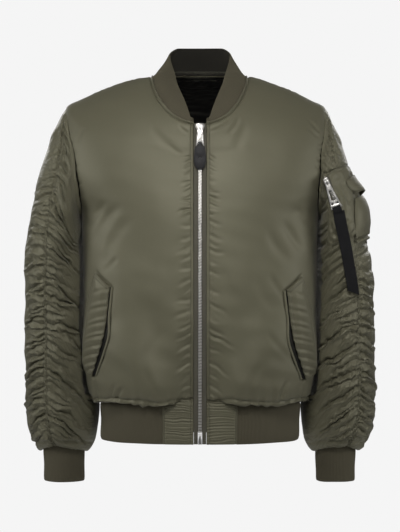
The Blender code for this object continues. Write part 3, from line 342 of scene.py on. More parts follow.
def keeping_slopes(stations, rows):
    steps = np.diff(stations)[:, None]
    rises = np.diff(rows, axis=0) / steps
    slopes = np.zeros_like(rows)
    slopes[0], slopes[-1] = rises[0], rises[-1]
    same_way = rises[:-1] * rises[1:] > 0
    total = np.where(same_way, rises[:-1] + rises[1:], 1.0)
    slopes[1:-1] = np.where(same_way, 2 * rises[:-1] * rises[1:] / total, 0.0)
    return slopes


def units(columns):
    """What to divide each column of a table by. Lengths are written in millimetres and used in metres."""
    return [1.0 if name in ("square", "seam", "slope", "width_share", "size") or name.endswith("_deg") else 1000.0
            for name in columns]


def rows_of(columns, table):
    return [SimpleNamespace(**{name: value / unit for name, value, unit in zip(columns, row, units(columns))})
            for row in table]


class Sections:
    """A table of sections, read as smooth curves at any station from 0 to 1 along its path."""

    def __init__(self, columns, rows, path):
        named = columns[0] == "place"
        self.places = [row[0] for row in rows] if named else []
        self.columns = columns[1:] if named else columns
        self.values = np.array([row[1:] if named else row for row in rows], float) / units(self.columns)
        points = np.stack([np.asarray(column) for column in path(self.named(self.values))], axis=-1)
        steps = np.linalg.norm(np.diff(points, axis=0), axis=1)
        self.length = steps.sum()
        self.stations = np.concatenate([[0.0], np.cumsum(steps)]) / self.length
        self.slopes = keeping_slopes(self.stations, self.values)

    def named(self, values):
        return SimpleNamespace(**dict(zip(self.columns, np.moveaxis(values, -1, 0))))

    def station(self, place):
        return float(self.stations[self.places.index(place)])

    def raw(self, station):
        station = np.clip(station, 0.0, 1.0)
        k = np.searchsorted(self.stations, station, side="right") - 1
        k = np.clip(k, 0, len(self.stations) - 2)
        step = (self.stations[k + 1] - self.stations[k])[..., None]
        t = (station - self.stations[k])[..., None] / step
        return (
            self.values[k] * (2 * t**3 - 3 * t**2 + 1)
            + self.slopes[k] * step * (t**3 - 2 * t**2 + t)
            + self.values[k + 1] * (3 * t**2 - 2 * t**3)
            + self.slopes[k + 1] * step * (t**3 - t**2)
        )

    def at(self, station):
        return self.named(self.raw(np.asarray(station, float)))

    def where(self, column, value, first=0.0, last=1.0):
        """The stations where a column that rises or falls steadily has these values."""
        stations = np.linspace(first, last, 800)
        found = getattr(self.at(stations), column)
        way = 1 if found[-1] > found[0] else -1
        return np.interp(way * np.asarray(value), way * found, stations)


def spaced(length, step, first=None, last=None, margin=0.012):
    """Distances from 0 to a length, an even number of steps apart, with finer steps towards a fine end."""
    place = np.linspace(0, length, 3000)
    size = np.full_like(place, step)
    for fine, away in ((first, place), (last, length - place)):
        if fine:
            size = np.minimum(size, fine + (step - fine) * smoothstep(margin * 0.5, margin * 1.6, away))
    count = np.concatenate([[0.0], np.cumsum(np.diff(place) / size[:-1])])
    steps = 2 * math.ceil(count[-1] / 2)
    return np.interp(np.linspace(0, count[-1], steps + 1), count, place)


def shares_down(length, step, **fine):
    """The same as shares from 0 to 1, one to each row of a grid."""
    return spaced(length, step, **fine)[:, None] / length


def shares_across(length, step, **fine):
    return spaced(length, step, **fine)[None] / length


# %% The body's sections
ZIP_HALF = 0.0110
RIDGE = 1.25
ARMHOLE_FRONT, ARMHOLE_BACK = 29.0, 27.0
TORSO_COLUMNS = (
    "place", "half_width", "front", "back", "middle", "z_front", "z_side", "z_back", "square", "lean"
)
TORSO = (
    ("hem seam", 176.5, 117.5, 109.5, 0, -579.5, -579.5, -579.5, 2.3, 0),
    ("roll under", 189, 129, 120, 0, -586, -588.5, -586, 2.3, 0),
    ("roll out", 197.5, 136, 127.5, 0, -576, -577, -576, 2.3, 0),
    ("blouse", 203.5, 139.5, 131, 0, -550, -549, -550, 2.35, 0),
    ("low pocket", 207, 140, 132, 0, -513, -512, -513, 2.35, 0),
    ("waist", 209.7, 137, 131, 0, -445, -445, -445, 2.35, 0),
    ("belly", 210.2, 134.5, 130, 0, -370, -370, -370, 2.35, 0),
    ("low chest", 210.8, 132.5, 131, 1, -310, -309, -310, 2.35, 0),
    ("pit", 213, 130.5, 132, 2, -255, -252, -252, 2.4, 0),
    ("low arm", 228, 129, 131, 4, -228, -210, -208, 2.45, -2),
    ("mid arm", 240, 126, 128, 5, -200, -155, -152, 2.5, -4),
    ("high arm", 240, 121.5, 121, 5, -171, -100, -95, 2.4, -6),
    ("tip", 232.5, 117, 111, 4, -150, -59, -50, 2.3, -7.5),
    ("outer shoulder", 208.8, 113, 105, 1, -137, -45.5, -36, 2.25, -9),
    ("mid shoulder", 160, 107, 95, -3, -121, -24, -19, 2.2, -9),
    ("inner shoulder", 110, 100.5, 84.5, -8, -105, -7.8, -3, 2.18, -5),
    ("neck seam", 83, 93, 74, -12, -94, -4, 5, 2.15, -1),
)
# Broad swells and hollows: from one place to another, degrees round from the centre front and height.
BODY_FOLD_COLUMNS = ("start_deg", "start_z", "end_deg", "end_z", "reach", "rise")
BODY_FOLDS = (
    (22, -545, 34, -470, 30, 4), (-20, -548, -36, -480, 30, 4), (14, -500, 20, -420, 20, -3),
    (-14, -505, -19, -430, 20, -3), (52, -250, 30, -330, 30, -3), (-52, -250, -28, -320, 30, -3),
    (130, -260, 158, -330, 35, -4), (-130, -260, -160, -345, 35, -4), (150, -545, 172, -480, 35, 4.5),
    (-140, -545, -165, -470, 35, 4.5),
)


torso = Sections(TORSO_COLUMNS, TORSO, lambda row: (row.half_width, row.z_side))
body_folds = rows_of(BODY_FOLD_COLUMNS, BODY_FOLDS)
PIT, TIP, WAIST, BLOUSE = (torso.station(place) for place in ("pit", "tip", "waist", "blouse"))
ARM_MIDDLE, ARM_HALF = (PIT + TIP) / 2, (TIP - PIT) / 2
PIT_Z = float(torso.at(PIT).z_side)
print("body sections:", len(TORSO), "over", round(torso.length, 3), "m")


# %% The body's form
def round_section(degrees, square):
    """Side and front shares of a squarish oval, each from -1 to 1."""
    turn = np.radians(degrees)
    side, ahead = np.sin(turn), np.cos(turn)
    power = 2 / square
    across, along = (np.sign(way) * np.abs(way) ** power for way in (side, ahead))
    return across, along, side, ahead


def torso_row(degrees, level):
    """The section at a level. The strip beside the zip runs straight from the waist to the hem."""
    degrees, level = np.broadcast_arrays(np.asarray(degrees, float), np.asarray(level, float))
    raw = torso.raw(level)
    flat = (1 - smoothstep(3.5, 16.0, np.abs(degrees))) * (level < WAIST)
    straight = torso.raw(0.0) + (torso.raw(WAIST) - torso.raw(0.0)) * (level / WAIST)[..., None]
    return torso.named(raw + (straight - raw) * flat[..., None])


def torso_form(degrees, level):
    degrees = (np.asarray(degrees, float) + 180) % 360 - 180
    row = torso_row(degrees, level)
    across, along, side, ahead = round_section(degrees, row.square)
    depth = np.where(ahead > 0, row.front, row.back)
    end_z = np.where(ahead > 0, row.z_front, row.z_back)
    return xyz(
        row.lean * side * side + row.half_width * across,
        row.middle - depth * along,
        row.z_side + (end_z - row.z_side) * np.abs(ahead) ** RIDGE,
    )


def torso_normal(degrees, level):
    turn, rise = 0.6, 0.004
    around = torso_form(degrees + turn, level) - torso_form(degrees - turn, level)
    up = torso_form(degrees, np.minimum(level + rise, 1.0)) - torso_form(degrees, np.maximum(level - rise, 0.0))
    return unit(np.cross(around, up))


def near_fold(degrees, z, fold):
    scale = 0.0030  # metres a degree, about
    place = np.stack([((degrees + 180) % 360 - 180) * scale, z], axis=-1)
    start = np.array([fold.start_deg * scale, fold.start_z])
    line = np.array([fold.end_deg * scale, fold.end_z]) - start
    share = np.clip((place - start) @ line / (line @ line), 0.0, 1.0)
    away = np.linalg.norm(place - start - line * share[..., None], axis=-1)
    return bell(away, 0, fold.reach)


def torso_point(degrees, level, lift=0.0):
    degrees, level = np.broadcast_arrays(np.asarray(degrees, float), np.asarray(level, float))
    point = torso_form(degrees, level)
    rise = sum(fold.rise * near_fold(degrees, point[..., 2], fold) for fold in body_folds)
    rise = rise * smoothstep(0, BLOUSE, level) + lift
    return point + torso_normal(degrees, level) * rise[..., None]


def body_level(z):
    return torso.where("z_side", z, torso.station("roll out"), PIT)


def zip_degrees(level):
    row = torso_row(0, level)
    return np.degrees(np.arcsin((ZIP_HALF / row.half_width) ** (row.square / 2)))


def armhole_turn(psi):
    rise = np.sin(np.radians(psi))
    return 90 - np.where(rise > 0, ARMHOLE_FRONT, ARMHOLE_BACK) * rise


def armhole_level(psi):
    return ARM_MIDDLE + ARM_HALF * np.cos(np.radians(psi))


def armhole_point(side, psi):
    return torso_point(side * armhole_turn(psi), armhole_level(psi))


# %% Sleeves, cuffs, waistband and collar
SLEEVE_CLEAR, SLEEVE_CLEAR_SOFT, ARMHOLE_BLEND = 0.0050, 0.020, 0.30
SLEEVE_COLUMNS = (
    "place", "outer_right", "outer_left", "outer_z", "inner_x", "inner_z", "middle_y", "half_depth", "seam"
)
SLEEVE = (
    ("armhole", 240, 225, -59, 213, -252, 4, 66, 14),
    ("cap", 252, 235.8, -81, 218, -259, 4, 72, 37),
    ("low cap", 270, 252, -117, 216, -268, 5, 77, 56),
    ("upper arm", 281.6, 262.8, -153, 213, -279, 6, 80, 63),
    ("pen flap", 292.5, 274, -191, 210.5, -292, 8, 81, 66),
    ("pen pocket", 301.5, 287, -233, 208, -309, 10, 81, 70),
    ("above elbow", 311.5, 295.5, -280, 203, -333, 13, 80, 73),
    ("elbow", 315, 307, -330, 199, -362, 17, 79, 72),
    ("below elbow", 316.5, 312.5, -380, 193, -395, 21, 77.5, 70),
    ("upper forearm", 316, 314.5, -430, 189, -435, 25, 76, 69),
    ("mid forearm", 316, 316, -490, 186, -490, 28, 73.5, 68),
    ("low forearm", 315.5, 316.5, -540, 185, -540, 31, 71, 67),
    ("full", 315.5, 316, -590, 185.2, -590, 33, 69, 67),
    ("filled wrist", 312.5, 312.5, -625, 188, -625, 33, 65, 68),
    ("wrist", 307.5, 306.2, -653, 192.5, -653, 32, 57, 70),
    ("roll out", 297.5, 295.5, -670, 200, -670, 31, 46, 71),
    ("roll under", 289.5, 287.5, -676.5, 206, -676.5, 30, 37.5, 72),
    ("cuff seam", 284, 282, -660, 209.5, -660, 30, 30.5, 72),
)
LEFT_SEAM_TURN, UNDERARM_SEAM = -9.0, 195.0
WRIST_LIFT = 0.0088
CUFF_COLUMNS = ("place", "drop", "width_share", "half_depth")
CUFF = (
    ("seam", 0, 1, 30.5),
    ("top", 13, 1, 30.3),
    ("body", 46, 0.984, 29.5),
    ("lip", 69, 0.973, 29),
    ("end", 74, 0.93, 27.5),
)
BAND_SQUARE = 2.30
BAND_COLUMNS = ("place", "half_width", "front", "back", "z")
BAND = (
    ("seam", 176.5, 117.5, 109.5, -579.5),
    ("top", 179.7, 119.5, 112.5, -593),
    ("body", 177.5, 119, 111.5, -620),
    ("lip", 178.5, 119.5, 112, -646),
    ("end", 176.5, 118, 110, -654),
)
COLLAR_COLUMNS = ("seam_deg", "edge_x", "edge_y", "edge_z", "bulge")
COLLAR = (
    (6.5, 15.2, -104, -88.5, 0),
    (20, 20, -95, -73, 1),
    (38, 28.1, -75, -48.9, 2),
    (54, 33.5, -56, -34.5, 3),
    (70, 38.5, -39, -21.5, 4),
    (87, 45, -14, 1.5, 4.5),
    (102, 50.5, 6, 19, 4.5),
    (123, 56, 29, 40, 4),
    (140, 50, 45, 49.5, 3),
    (156, 38.5, 54.5, 54.5, 2.5),
    (180, 0, 60, 55.2, 2.5),
)

sleeve = Sections(
    SLEEVE_COLUMNS, SLEEVE,
    lambda row: (row.outer_right + row.inner_x, row.outer_z + row.inner_z, row.middle_y),
)
band = Sections(BAND_COLUMNS, BAND, lambda row: (row.half_width, row.z))
cuff = Sections(CUFF_COLUMNS, CUFF, lambda row: (row.width_share / 30, row.drop))
collar = Sections(COLLAR_COLUMNS, COLLAR, lambda row: (row.seam_deg,))


def girth_table():
    """Level sections of the body and waistband by height, for keeping the sleeves clear of them."""
    low = band.at(np.linspace(1, 0, 6))
    high = torso.at(np.linspace(torso.station("roll under"), PIT, 40))
    first = np.stack([low.z, low.half_width, low.front, low.back, 0 * low.z, 0 * low.z + BAND_SQUARE])
    second = np.stack([high.z_side, high.half_width, high.front, high.back, high.middle, high.square])
    table = np.concatenate([first, second], axis=1)
    return table[:, np.argsort(table[0])]


GIRTHS = girth_table()


def keep_off_body(point):
    """Pushes a sleeve's points out of the body, and a little way off it."""
    x, y, z = np.moveaxis(point, -1, 0)
    width, front, back, middle, square = (np.interp(z, GIRTHS[0], column) for column in GIRTHS[1:])
    deep = y - middle
    depth = np.where(deep < 0, front, back)
    reach = ((np.abs(x) / width) ** square + (np.abs(deep) / depth) ** square) ** (1 / square)
    clear = SLEEVE_CLEAR * np.clip((PIT_Z - z) / 0.05, 0.0, 1.0)
    limit = 1 + clear / np.minimum(width, depth)
    past = reach - limit
    wanted = limit + (past + np.hypot(past, SLEEVE_CLEAR_SOFT)) / 2
    scale = 1 + (wanted / reach - 1) * np.clip((PIT_Z - z) / 0.04, 0.0, 1.0)
    return xyz(x * scale, middle + deep * scale, z)


def wrist_lift(psi, station):
    """The front of the wrist is drawn up by the gathered seam."""
    ahead = np.maximum(np.sin(np.radians(psi)), 0.0)
    return WRIST_LIFT * ahead**1.5 * smoothstep(sleeve.station("filled wrist"), sleeve.station("roll out"), station)


def sleeve_oval(side, psi, station):
    row = sleeve.at(station)
    outer_x = row.outer_left if side > 0 else row.outer_right
    out, ahead = np.cos(np.radians(psi)), np.sin(np.radians(psi))
    return xyz(
        side * ((outer_x + row.inner_x) / 2 + out * (outer_x - row.inner_x) / 2),
        row.middle_y - row.half_depth * ahead,
        (row.outer_z + row.inner_z) / 2 + out * (row.outer_z - row.inner_z) / 2 + wrist_lift(psi, station),
    )


def sleeve_form(side, psi, station):
    """It leaves the armhole with the armhole's own outline."""
    psi, station = np.broadcast_arrays(np.asarray(psi, float), np.asarray(station, float))
    fade = (1 - smoothstep(0, ARMHOLE_BLEND, station))[..., None]
    point = sleeve_oval(side, psi, station)
    point = point + (armhole_point(side, psi) - sleeve_oval(side, psi, 0 * station)) * fade
    return np.where(station[..., None] > 0, keep_off_body(point), point)


def gathered_seam(side, station):
    seam = sleeve.at(station).seam
    return seam + (LEFT_SEAM_TURN * smoothstep(0.0, 0.2, station) if side > 0 else 0.0)


def band_point(degrees, share):
    row = band.at(share)
    across, along, _, ahead = round_section(degrees, BAND_SQUARE)
    return xyz(row.half_width * across, -np.where(ahead > 0, row.front, row.back) * along, row.z)


def cuff_point(side, psi, share):
    row, seam = cuff.at(share), sleeve.at(1.0)
    outer_x = seam.outer_left if side > 0 else seam.outer_right
    out, ahead = np.cos(np.radians(psi)), np.sin(np.radians(psi))
    return xyz(
        side * ((outer_x + seam.inner_x) / 2 + row.width_share * (outer_x - seam.inner_x) / 2 * out),
        seam.middle_y - row.half_depth * ahead,
        seam.outer_z - row.drop + wrist_lift(psi, 1.0) * (1 - smoothstep(0.0, 0.6, share)),
    )


def collar_point(degrees, share):
    """From the neck seam, share 0, up to the free edge, share 1."""
    degrees = (np.asarray(degrees, float) + 180) % 360 - 180
    side = np.where(degrees < 0, -1.0, 1.0)
    first, last = COLLAR[0][0], COLLAR[-1][0]
    row = collar.at((np.abs(degrees) - first) / (last - first))
    seam = torso_form(degrees, 1.0)
    edge = xyz(side * row.edge_x, row.edge_y, row.edge_z)
    ahead = torso_form(degrees + side * 2, 1.0) - torso_form(degrees - side * 2, 1.0)
    out = unit(np.cross(ahead, edge - seam)) * side[..., None]
    share = np.asarray(share, float)[..., None]
    return seam + (edge - seam) * share + out * row.bulge[..., None] * 4 * share * (1 - share)


print("sleeve sections:", len(SLEEVE), "over", round(sleeve.length / 2, 3), "m")

# %% [markdown]
# ## From a grid of points to a sewn piece
# Each piece of cloth is a closed wall. Its outer face is a fine grid that carries every crease. Its inner face
# follows the deepest point nearby and needs only every second row and column, which saves a third of the triangles.
# A strip of five-sided faces joins the two round the edges. The same call writes a map of the cloth in metres, so that
# weaves keep their scale, and gives the inner face the lining's finish.

# %% The shell builder
SEAM = 0.0003  # the gap that shows between two pieces
skins = {}  # each piece's finished outer face, for stitching on later


def distances(points, axis):
    """How far each point of a grid is from the grid's first one, along the cloth."""
    steps = np.linalg.norm(np.diff(points, axis=axis), axis=-1)
    start = np.zeros_like(np.take(steps, [0], axis=axis))
    return np.concatenate([start, np.cumsum(steps, axis=axis)], axis=axis)


def across_and_along(points):
    return distances(points, 1), distances(points, 0)


def normals_of(points, like=None, around=False):
    """Which way a grid faces at each point, taken from its neighbours."""
    if around:
        padded = np.concatenate([points[:, -1:], points, points[:, :1]], axis=1)
        across = (padded[:, 2:] - padded[:, :-2]) / 2
    else:
        across = np.gradient(points, axis=1)
    facing = unit(np.cross(across, np.gradient(points, axis=0)))
    if like is not None and np.sum(facing * like) < 0:
        facing = -facing
    return facing


def lowest_nearby(height, around):
    for axis in (0, 1):
        mode = "wrap" if around and axis == 1 else "edge"
        pad = [(2, 2) if a == axis else (0, 0) for a in (0, 1)]
        wide = np.pad(height, pad, mode=mode)
        parts = [np.take(wide, range(k, k + height.shape[axis]), axis=axis) for k in range(5)]
        height = np.minimum.reduce(parts)
    return height


def draw_in(points, around, gap=SEAM / 2, edges="tblr"):
    """Draws a grid's edges in by half a seam's gap."""
    eased = points.copy()
    ends = {"t": ((0, 1), 0), "b": ((-1, -2), 0), "l": ((0, 1), 1), "r": ((-1, -2), 1)}
    for name, ((edge, inside), axis) in ends.items():
        if name in edges and not (around and axis == 1):
            at = (edge, slice(None)) if axis == 0 else (slice(None), edge)
            inner = (inside, slice(None)) if axis == 0 else (slice(None), inside)
            eased[at] += unit(points[inner] - points[at]) * gap
    return eased


def strips(outer, inner, coarse):
    """Faces that join the outer skin's edge, given in its faces' order, to the inner skin's."""
    count = len(inner) - 1
    picks = np.arange(count)[:, None] * coarse + np.arange(coarse, -1, -1)[None]
    return np.concatenate([outer[picks], inner[:-1, None], inner[1:, None]], axis=1)


def shell(name, face, out, height, thickness, finishes, around=False, coarse=2, drop=0.0, flat_edges="tblr"):
    """A closed cloth wall. out says which way the form faces and height how far the face stands off it."""
    turned = np.sum(np.cross(face[:-1, 1:] - face[:-1, :-1], face[1:, :-1] - face[:-1, :-1]) * out[:-1, :-1]) < 0
    if turned:
        face, out = face[:, ::-1], out[:, ::-1]
        height = height[:, ::-1]
        thickness, drop = (value[:, ::-1] if np.ndim(value) else value for value in (thickness, drop))
    face = draw_in(face, around, edges=flat_edges)
    rows, columns = face.shape[:2]
    outer = face + out * height[..., None]
    outer[..., 2] -= np.maximum(height, 0) * drop
    inner = (face + out * (lowest_nearby(height, around) - thickness)[..., None])[::coarse, ::coarse]
    grid = np.arange(rows * columns).reshape(rows, columns)
    low = rows * columns + np.arange(inner.shape[0] * inner.shape[1]).reshape(inner.shape[:2])
    u, v = across_and_along(face)
    cloth = np.stack([u, v], axis=-1)
    if around:
        grid, low = (np.concatenate([index, index[:, :1]], axis=1) for index in (grid, low))

    def quads(index):
        return np.stack([index[:-1, :-1], index[:-1, 1:], index[1:, 1:], index[1:, :-1]], axis=-1).reshape(-1, 4)

    rims = [strips(grid[0], low[0], coarse), strips(grid[-1, ::-1], low[-1, ::-1], coarse)]
    if not around:
        rims += [strips(grid[::-1, 0], low[::-1, 0], coarse), strips(grid[:, -1], low[:, -1], coarse)]
    faces = [quads(grid), quads(low)[:, ::-1], *rims]
    maps = np.concatenate([cloth.reshape(-1, 2), cloth[::coarse, ::coarse].reshape(-1, 2)])
    points = np.concatenate([outer.reshape(-1, 3), inner.reshape(-1, 3)])
    obj = mesh_object(name, points, faces, maps, finishes)
    inside = np.zeros(len(obj.data.polygons), np.int32)
    inside[len(faces[0]):len(faces[0]) + len(faces[1])] = 1
    obj.data.polygons.foreach_set("material_index", inside)
    skins[name] = SimpleNamespace(points=outer, out=out, u=u, v=v, turned=turned)
    return obj


def mesh_object(name, points, faces, maps, finishes):
    """A mesh from arrays: faces is a list of arrays, each of faces with the same number of corners."""
    corners = np.concatenate([block.reshape(-1) for block in faces]).astype(np.int32)
    totals = np.concatenate([np.full(len(block), block.shape[1]) for block in faces]).astype(np.int32)
    mesh = bpy.data.meshes.new(name)
    mesh.vertices.add(len(points))
    mesh.vertices.foreach_set("co", points.astype(np.float32).ravel())
    mesh.loops.add(len(corners))
    mesh.loops.foreach_set("vertex_index", corners)
    mesh.polygons.add(len(totals))
    starts = np.concatenate([[0], np.cumsum(totals)[:-1]]).astype(np.int32)
    mesh.polygons.foreach_set("loop_start", starts)
    mesh.update(calc_edges=True)
    layer = mesh.uv_layers.new(name="cloth")
    layer.data.foreach_set("uv", maps[corners].astype(np.float32).ravel())
    mesh.shade_smooth()
    mesh.set_sharp_from_angle(angle=math.radians(75))
    for finish in finishes:
        mesh.materials.append(finish)
    return add_object(name, mesh)


# %% [markdown]
# ## Creases
# Padded nylon creases in three ways. Where it is sewn to something shorter it gathers, and troughs run off the seam,
# deep at first and dying out. Across a panel lie single folds, each a soft trough with a low ridge on either side.
# And everywhere the wadding swells a little. Each of these is a height added to the cloth's face. Troughs that meet
# don't add up: the deeper one wins, which is what keeps the puffs between them round.

# %% Crease tools
TROUGH_FLOOR = 0.0006  # how round the bottom of a trough is
ABOVE, BELOW = 0.75, 1.15  # a trough is steeper under the puff above it
CREST, CREST_AT = 0.55, 2.4  # the ridge below a trough: its share of the depth, and how many widths down
FLAT_START = 0.012  # a gather leaves its seam square on, and falls only after this much


def gathers(distance, height, rows, wander=0.0):
    """How far the cloth sinks in the troughs that run off a seam, at a distance from it and a height."""
    sunk, raised = np.zeros(distance.shape), np.zeros(distance.shape)
    for row in rows:
        fall = row.slope * (np.hypot(distance, FLAT_START) - FLAT_START)
        away = height + fall + wander - row.z
        near = np.abs(away) < row.width * 7
        if not near.any():
            continue
        away = away[near]
        fade = 1 - smoothstep(0.45 * row.reach, row.reach, distance[near])
        starts = smoothstep(row.start - 0.008, row.start + 0.008, distance[near]) if row.start else 1.0
        width = row.width * np.where(away > 0, ABOVE, BELOW)
        profile = np.exp(-(np.hypot(away, TROUGH_FLOOR) - TROUGH_FLOOR) / width)
        crest = np.exp(-((away / row.width + CREST_AT) ** 2))
        sunk[near] += (row.depth * fade * starts * profile) ** 3
        raised[near] += (row.depth * fade * starts * crest) ** 3
    return np.cbrt(sunk) - CREST * np.cbrt(raised)


def single_folds(x, z, rows):
    """How far the cloth rises, or sinks, at folds that are drawn on it as seen from the front."""
    total = np.zeros(x.shape)
    for row in rows:
        line = np.array([row.end_x - row.start_x, row.end_z - row.start_z])
        length = np.hypot(*line)
        dx, dz = x - row.start_x, z - row.start_z
        share = (dx * line[0] + dz * line[1]) / length**2
        away = (dx * line[1] - dz * line[0]) / length - row.bend * 4 * share * (1 - share)
        fade = smoothstep(-0.25, 0.25, share) * (1 - smoothstep(0.75, 1.25, share))
        across = (away / row.width) ** 2
        total -= row.depth * fade * (1 - 0.55 * across) * np.exp(-across / 2)
    return total


def swells(points, size, seed, count=12):
    """A smooth unevenness of about this size, the same every time for the same seed."""
    draw = np.random.default_rng(seed)
    ways = unit(draw.normal(size=(count, 3))) * 2 * math.pi / (size * draw.uniform(0.7, 1.6, (count, 1)))
    return np.sin(points @ ways.T + draw.uniform(0, 2 * math.pi, count)).sum(-1) / math.sqrt(count / 2)


def seam_roll(distance, depth=0.0016, width=0.0045):
    """The face turns in towards a seam."""
    return -depth * np.clip(1 - distance / width, 0, 1) ** 2


def puckers(distance, along, pitch, reach, depth, seed):
    """Short uneven puckers beside a seam."""
    draw = np.random.default_rng(seed)
    a, b, c = draw.uniform(0, 2 * math.pi, 3)
    turn = 2 * math.pi * along / pitch
    wave = np.sin(turn + a + 1.9 * np.sin(turn / 3.3 + b)) * (0.65 + 0.35 * np.sin(turn / 5.1 + c))
    return depth * wave * np.exp(-((distance / reach) ** 1.5)) * smoothstep(0, 0.003, distance)


def free_edge(distance, thickness):
    """How thick a wall is near an edge that is folded round."""
    half = thickness / 2
    away = np.clip(1 - distance / half, 0, 1)
    return thickness * np.sqrt(np.maximum(1 - away**2, 0.02))


GATHER_COLUMNS = ("z", "reach", "depth", "slope", "start")
FOLD_COLUMNS = ("start_x", "start_z", "end_x", "end_z", "width", "depth", "bend")


def gather_rows(table, width, deeper=1.0):
    """Rows of (height at the seam, reach, depth, slope) and, where the trough starts away from the seam, where."""
    rows = rows_of(GATHER_COLUMNS, [(*row, 0.0)[:5] for row in table])
    for row in rows:
        row.width, row.depth = width, row.depth * deeper
    return rows


def small_gathers(top, bottom, pitch, reach, depth, slope, seed, width):
    """Unevenly spaced small gathers between the large ones."""
    draw = np.random.default_rng(seed)
    rows, z = [], top
    while z > bottom:
        size = draw.uniform(0.6, 1.3)
        rows.append(SimpleNamespace(
            z=z, reach=reach * size * draw.uniform(0.7, 1.3), depth=depth * size,
            slope=slope * draw.uniform(0.5, 1.5), width=width * size, start=0.0,
        ))
        z -= pitch * draw.uniform(0.6, 1.4)
    return rows


# %% [markdown]
# ## Putting a piece in its place
# A finished piece rides on a body of the construction model and stands for the plain solid there.

# %% Finishing calls
made = []


def settle(obj, body="jacket", stands_for=None):
    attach(obj, body)
    if stands_for:
        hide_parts(*([stands_for] if isinstance(stands_for, str) else stands_for))
    triangles = sum(len(face.vertices) - 2 for face in obj.data.polygons)
    made.append((obj.name, triangles))
    print(f"{obj.name}: {triangles} triangles")
    return obj


def sewn(name, face, out, height, thickness, finish, cut, inside=None, body="jacket", stands_for=None, slot="nylon",
         held="draped", rests_on=(), **details):
    """Builds a cloth piece and puts it in its place. Its cut, the smallest rectangle it comes out of and its own flat
    area, is not used.
    """
    obj = shell(name, face, out, height, thickness, (finish, inside or finish), **details)
    settle(obj, body, stands_for)


# %% [markdown]
# ## The body panels
# Two fronts and a back, each in one piece. The wadding makes them swell softly. Beside the zip the straight tape
# holds cloth that wants to be longer, so short puckers fall away from it on both sides, closer and shallower towards
# the neck. The hem is drawn in by the rib and the armholes and the neck are turned in to their seams, with a corded
# edge round the neck.

# %% Folds of the fronts
BODY_STEP, BACK_STEP = 0.0030, 0.0043
FINE_EDGE = 0.0009
FRONT_FOLDS = (
    (-35, -101, -22, -112, 2.6, 1.1, 1), (-53, -134, -34, -149, 3.2, 0.9, 1), (-84, -105, -50, -138, 7, 1.1, 2),
    (56, -86, 21, -109, 2.6, 1.3, -3), (67, -88, 50, -113, 4, 1.1, -2), (80, -100, 62, -140, 8, 1, 0),
    (-149, -245, -183, -306, 8.5, 1.9, 4), (-168, -235, -196, -270, 6, 1.4, 0), (-120, -262, -165, -330, 10, 1.2, 6),
    (150, -272, 178, -314, 7, 2.1, 2), (119, -286, 153, -333, 8, 1.9, 3), (170, -245, 195, -275, 6, 1.2, 0),
    (-146, -332, -166, -352, 4.5, 1.2, 0), (122, -362, 150, -402, 5.5, 1.3, 2), (100, -375, 128, -420, 7.5, 1, 3),
    (118, -462, 158, -505, 5.5, 1.2, 2), (110, -510, 83, -566, 6.5, 1.5, 3), (150, -548, 140, -578, 3.6, 3, 1),
    (128, -556, 126, -578, 3, 2, 0), (-60, -455, -105, -520, 8.5, 1.2, 4), (-95, -525, -70, -568, 6.5, 1.3, 2),
    (-135, -556, -147, -578, 3.4, 3, 1), (-150, -552, -158, -576, 3, 2.2, 0), (194, -87, 210, -105, 2.8, 1.8, 0),
    (190, -102, 209, -116, 2.6, 1.5, 0), (-206, -100, -214, -124, 3, 1.2, 1), (-30, -300, -62, -352, 10, 0.8, 3),
    (34, -345, 60, -395, 9.5, 0.8, 2),
)
# Beside the zip, on the wearer's right and left: height at the zip, reach, depth and slope.
ZIP_RIGHT = (
    (-173, 24, 0.6, 0.25), (-187, 20, 0.6, 0.2), (-200, 26, 0.7, 0.3), (-214, 22, 0.7, 0.25), (-227, 26, 0.8, 0.35),
    (-247, 32, 1.3, 0.4), (-268, 26, 0.9, 0.3), (-292, 28, 1, 0.45), (-311, 34, 1.4, 0.4), (-327, 26, 1, 0.45),
    (-346, 28, 1, 0.4), (-368, 30, 1.2, 0.5), (-396, 34, 1.3, 0.55), (-418, 40, 1.5, 0.6), (-442, 32, 1.3, 0.5),
    (-460, 34, 1.3, 0.6), (-479, 36, 1.4, 0.65), (-495, 26, 1.1, 0.55), (-510, 40, 1.5, 0.7), (-530, 30, 1.2, 0.7),
    (-548, 34, 1.4, 0.75), (-566, 22, 1.1, 0.6),
)
ZIP_LEFT = (
    (-196, 20, 0.6, 0.2), (-212.5, 26, 0.9, 0.3), (-223, 26, 0.9, 0.35), (-244, 24, 0.8, 0.3), (-266, 28, 1, 0.4),
    (-292, 32, 1.3, 0.45), (-304, 24, 1, 0.4), (-313, 34, 1.4, 0.45), (-334, 26, 0.9, 0.4), (-354, 28, 1.1, 0.5),
    (-382, 26, 1.1, 0.5), (-411, 42, 1.6, 0.7), (-432, 26, 1, 0.55), (-450, 40, 1.5, 0.65), (-462, 56, 1.9, 0.55),
    (-486, 30, 1.2, 0.6), (-507, 48, 1.8, 0.85), (-530, 28, 1.1, 0.7), (-549, 34, 1.3, 0.8), (-563, 24, 1.3, 0.9),
)
ZIP_DEPTH = 1.9
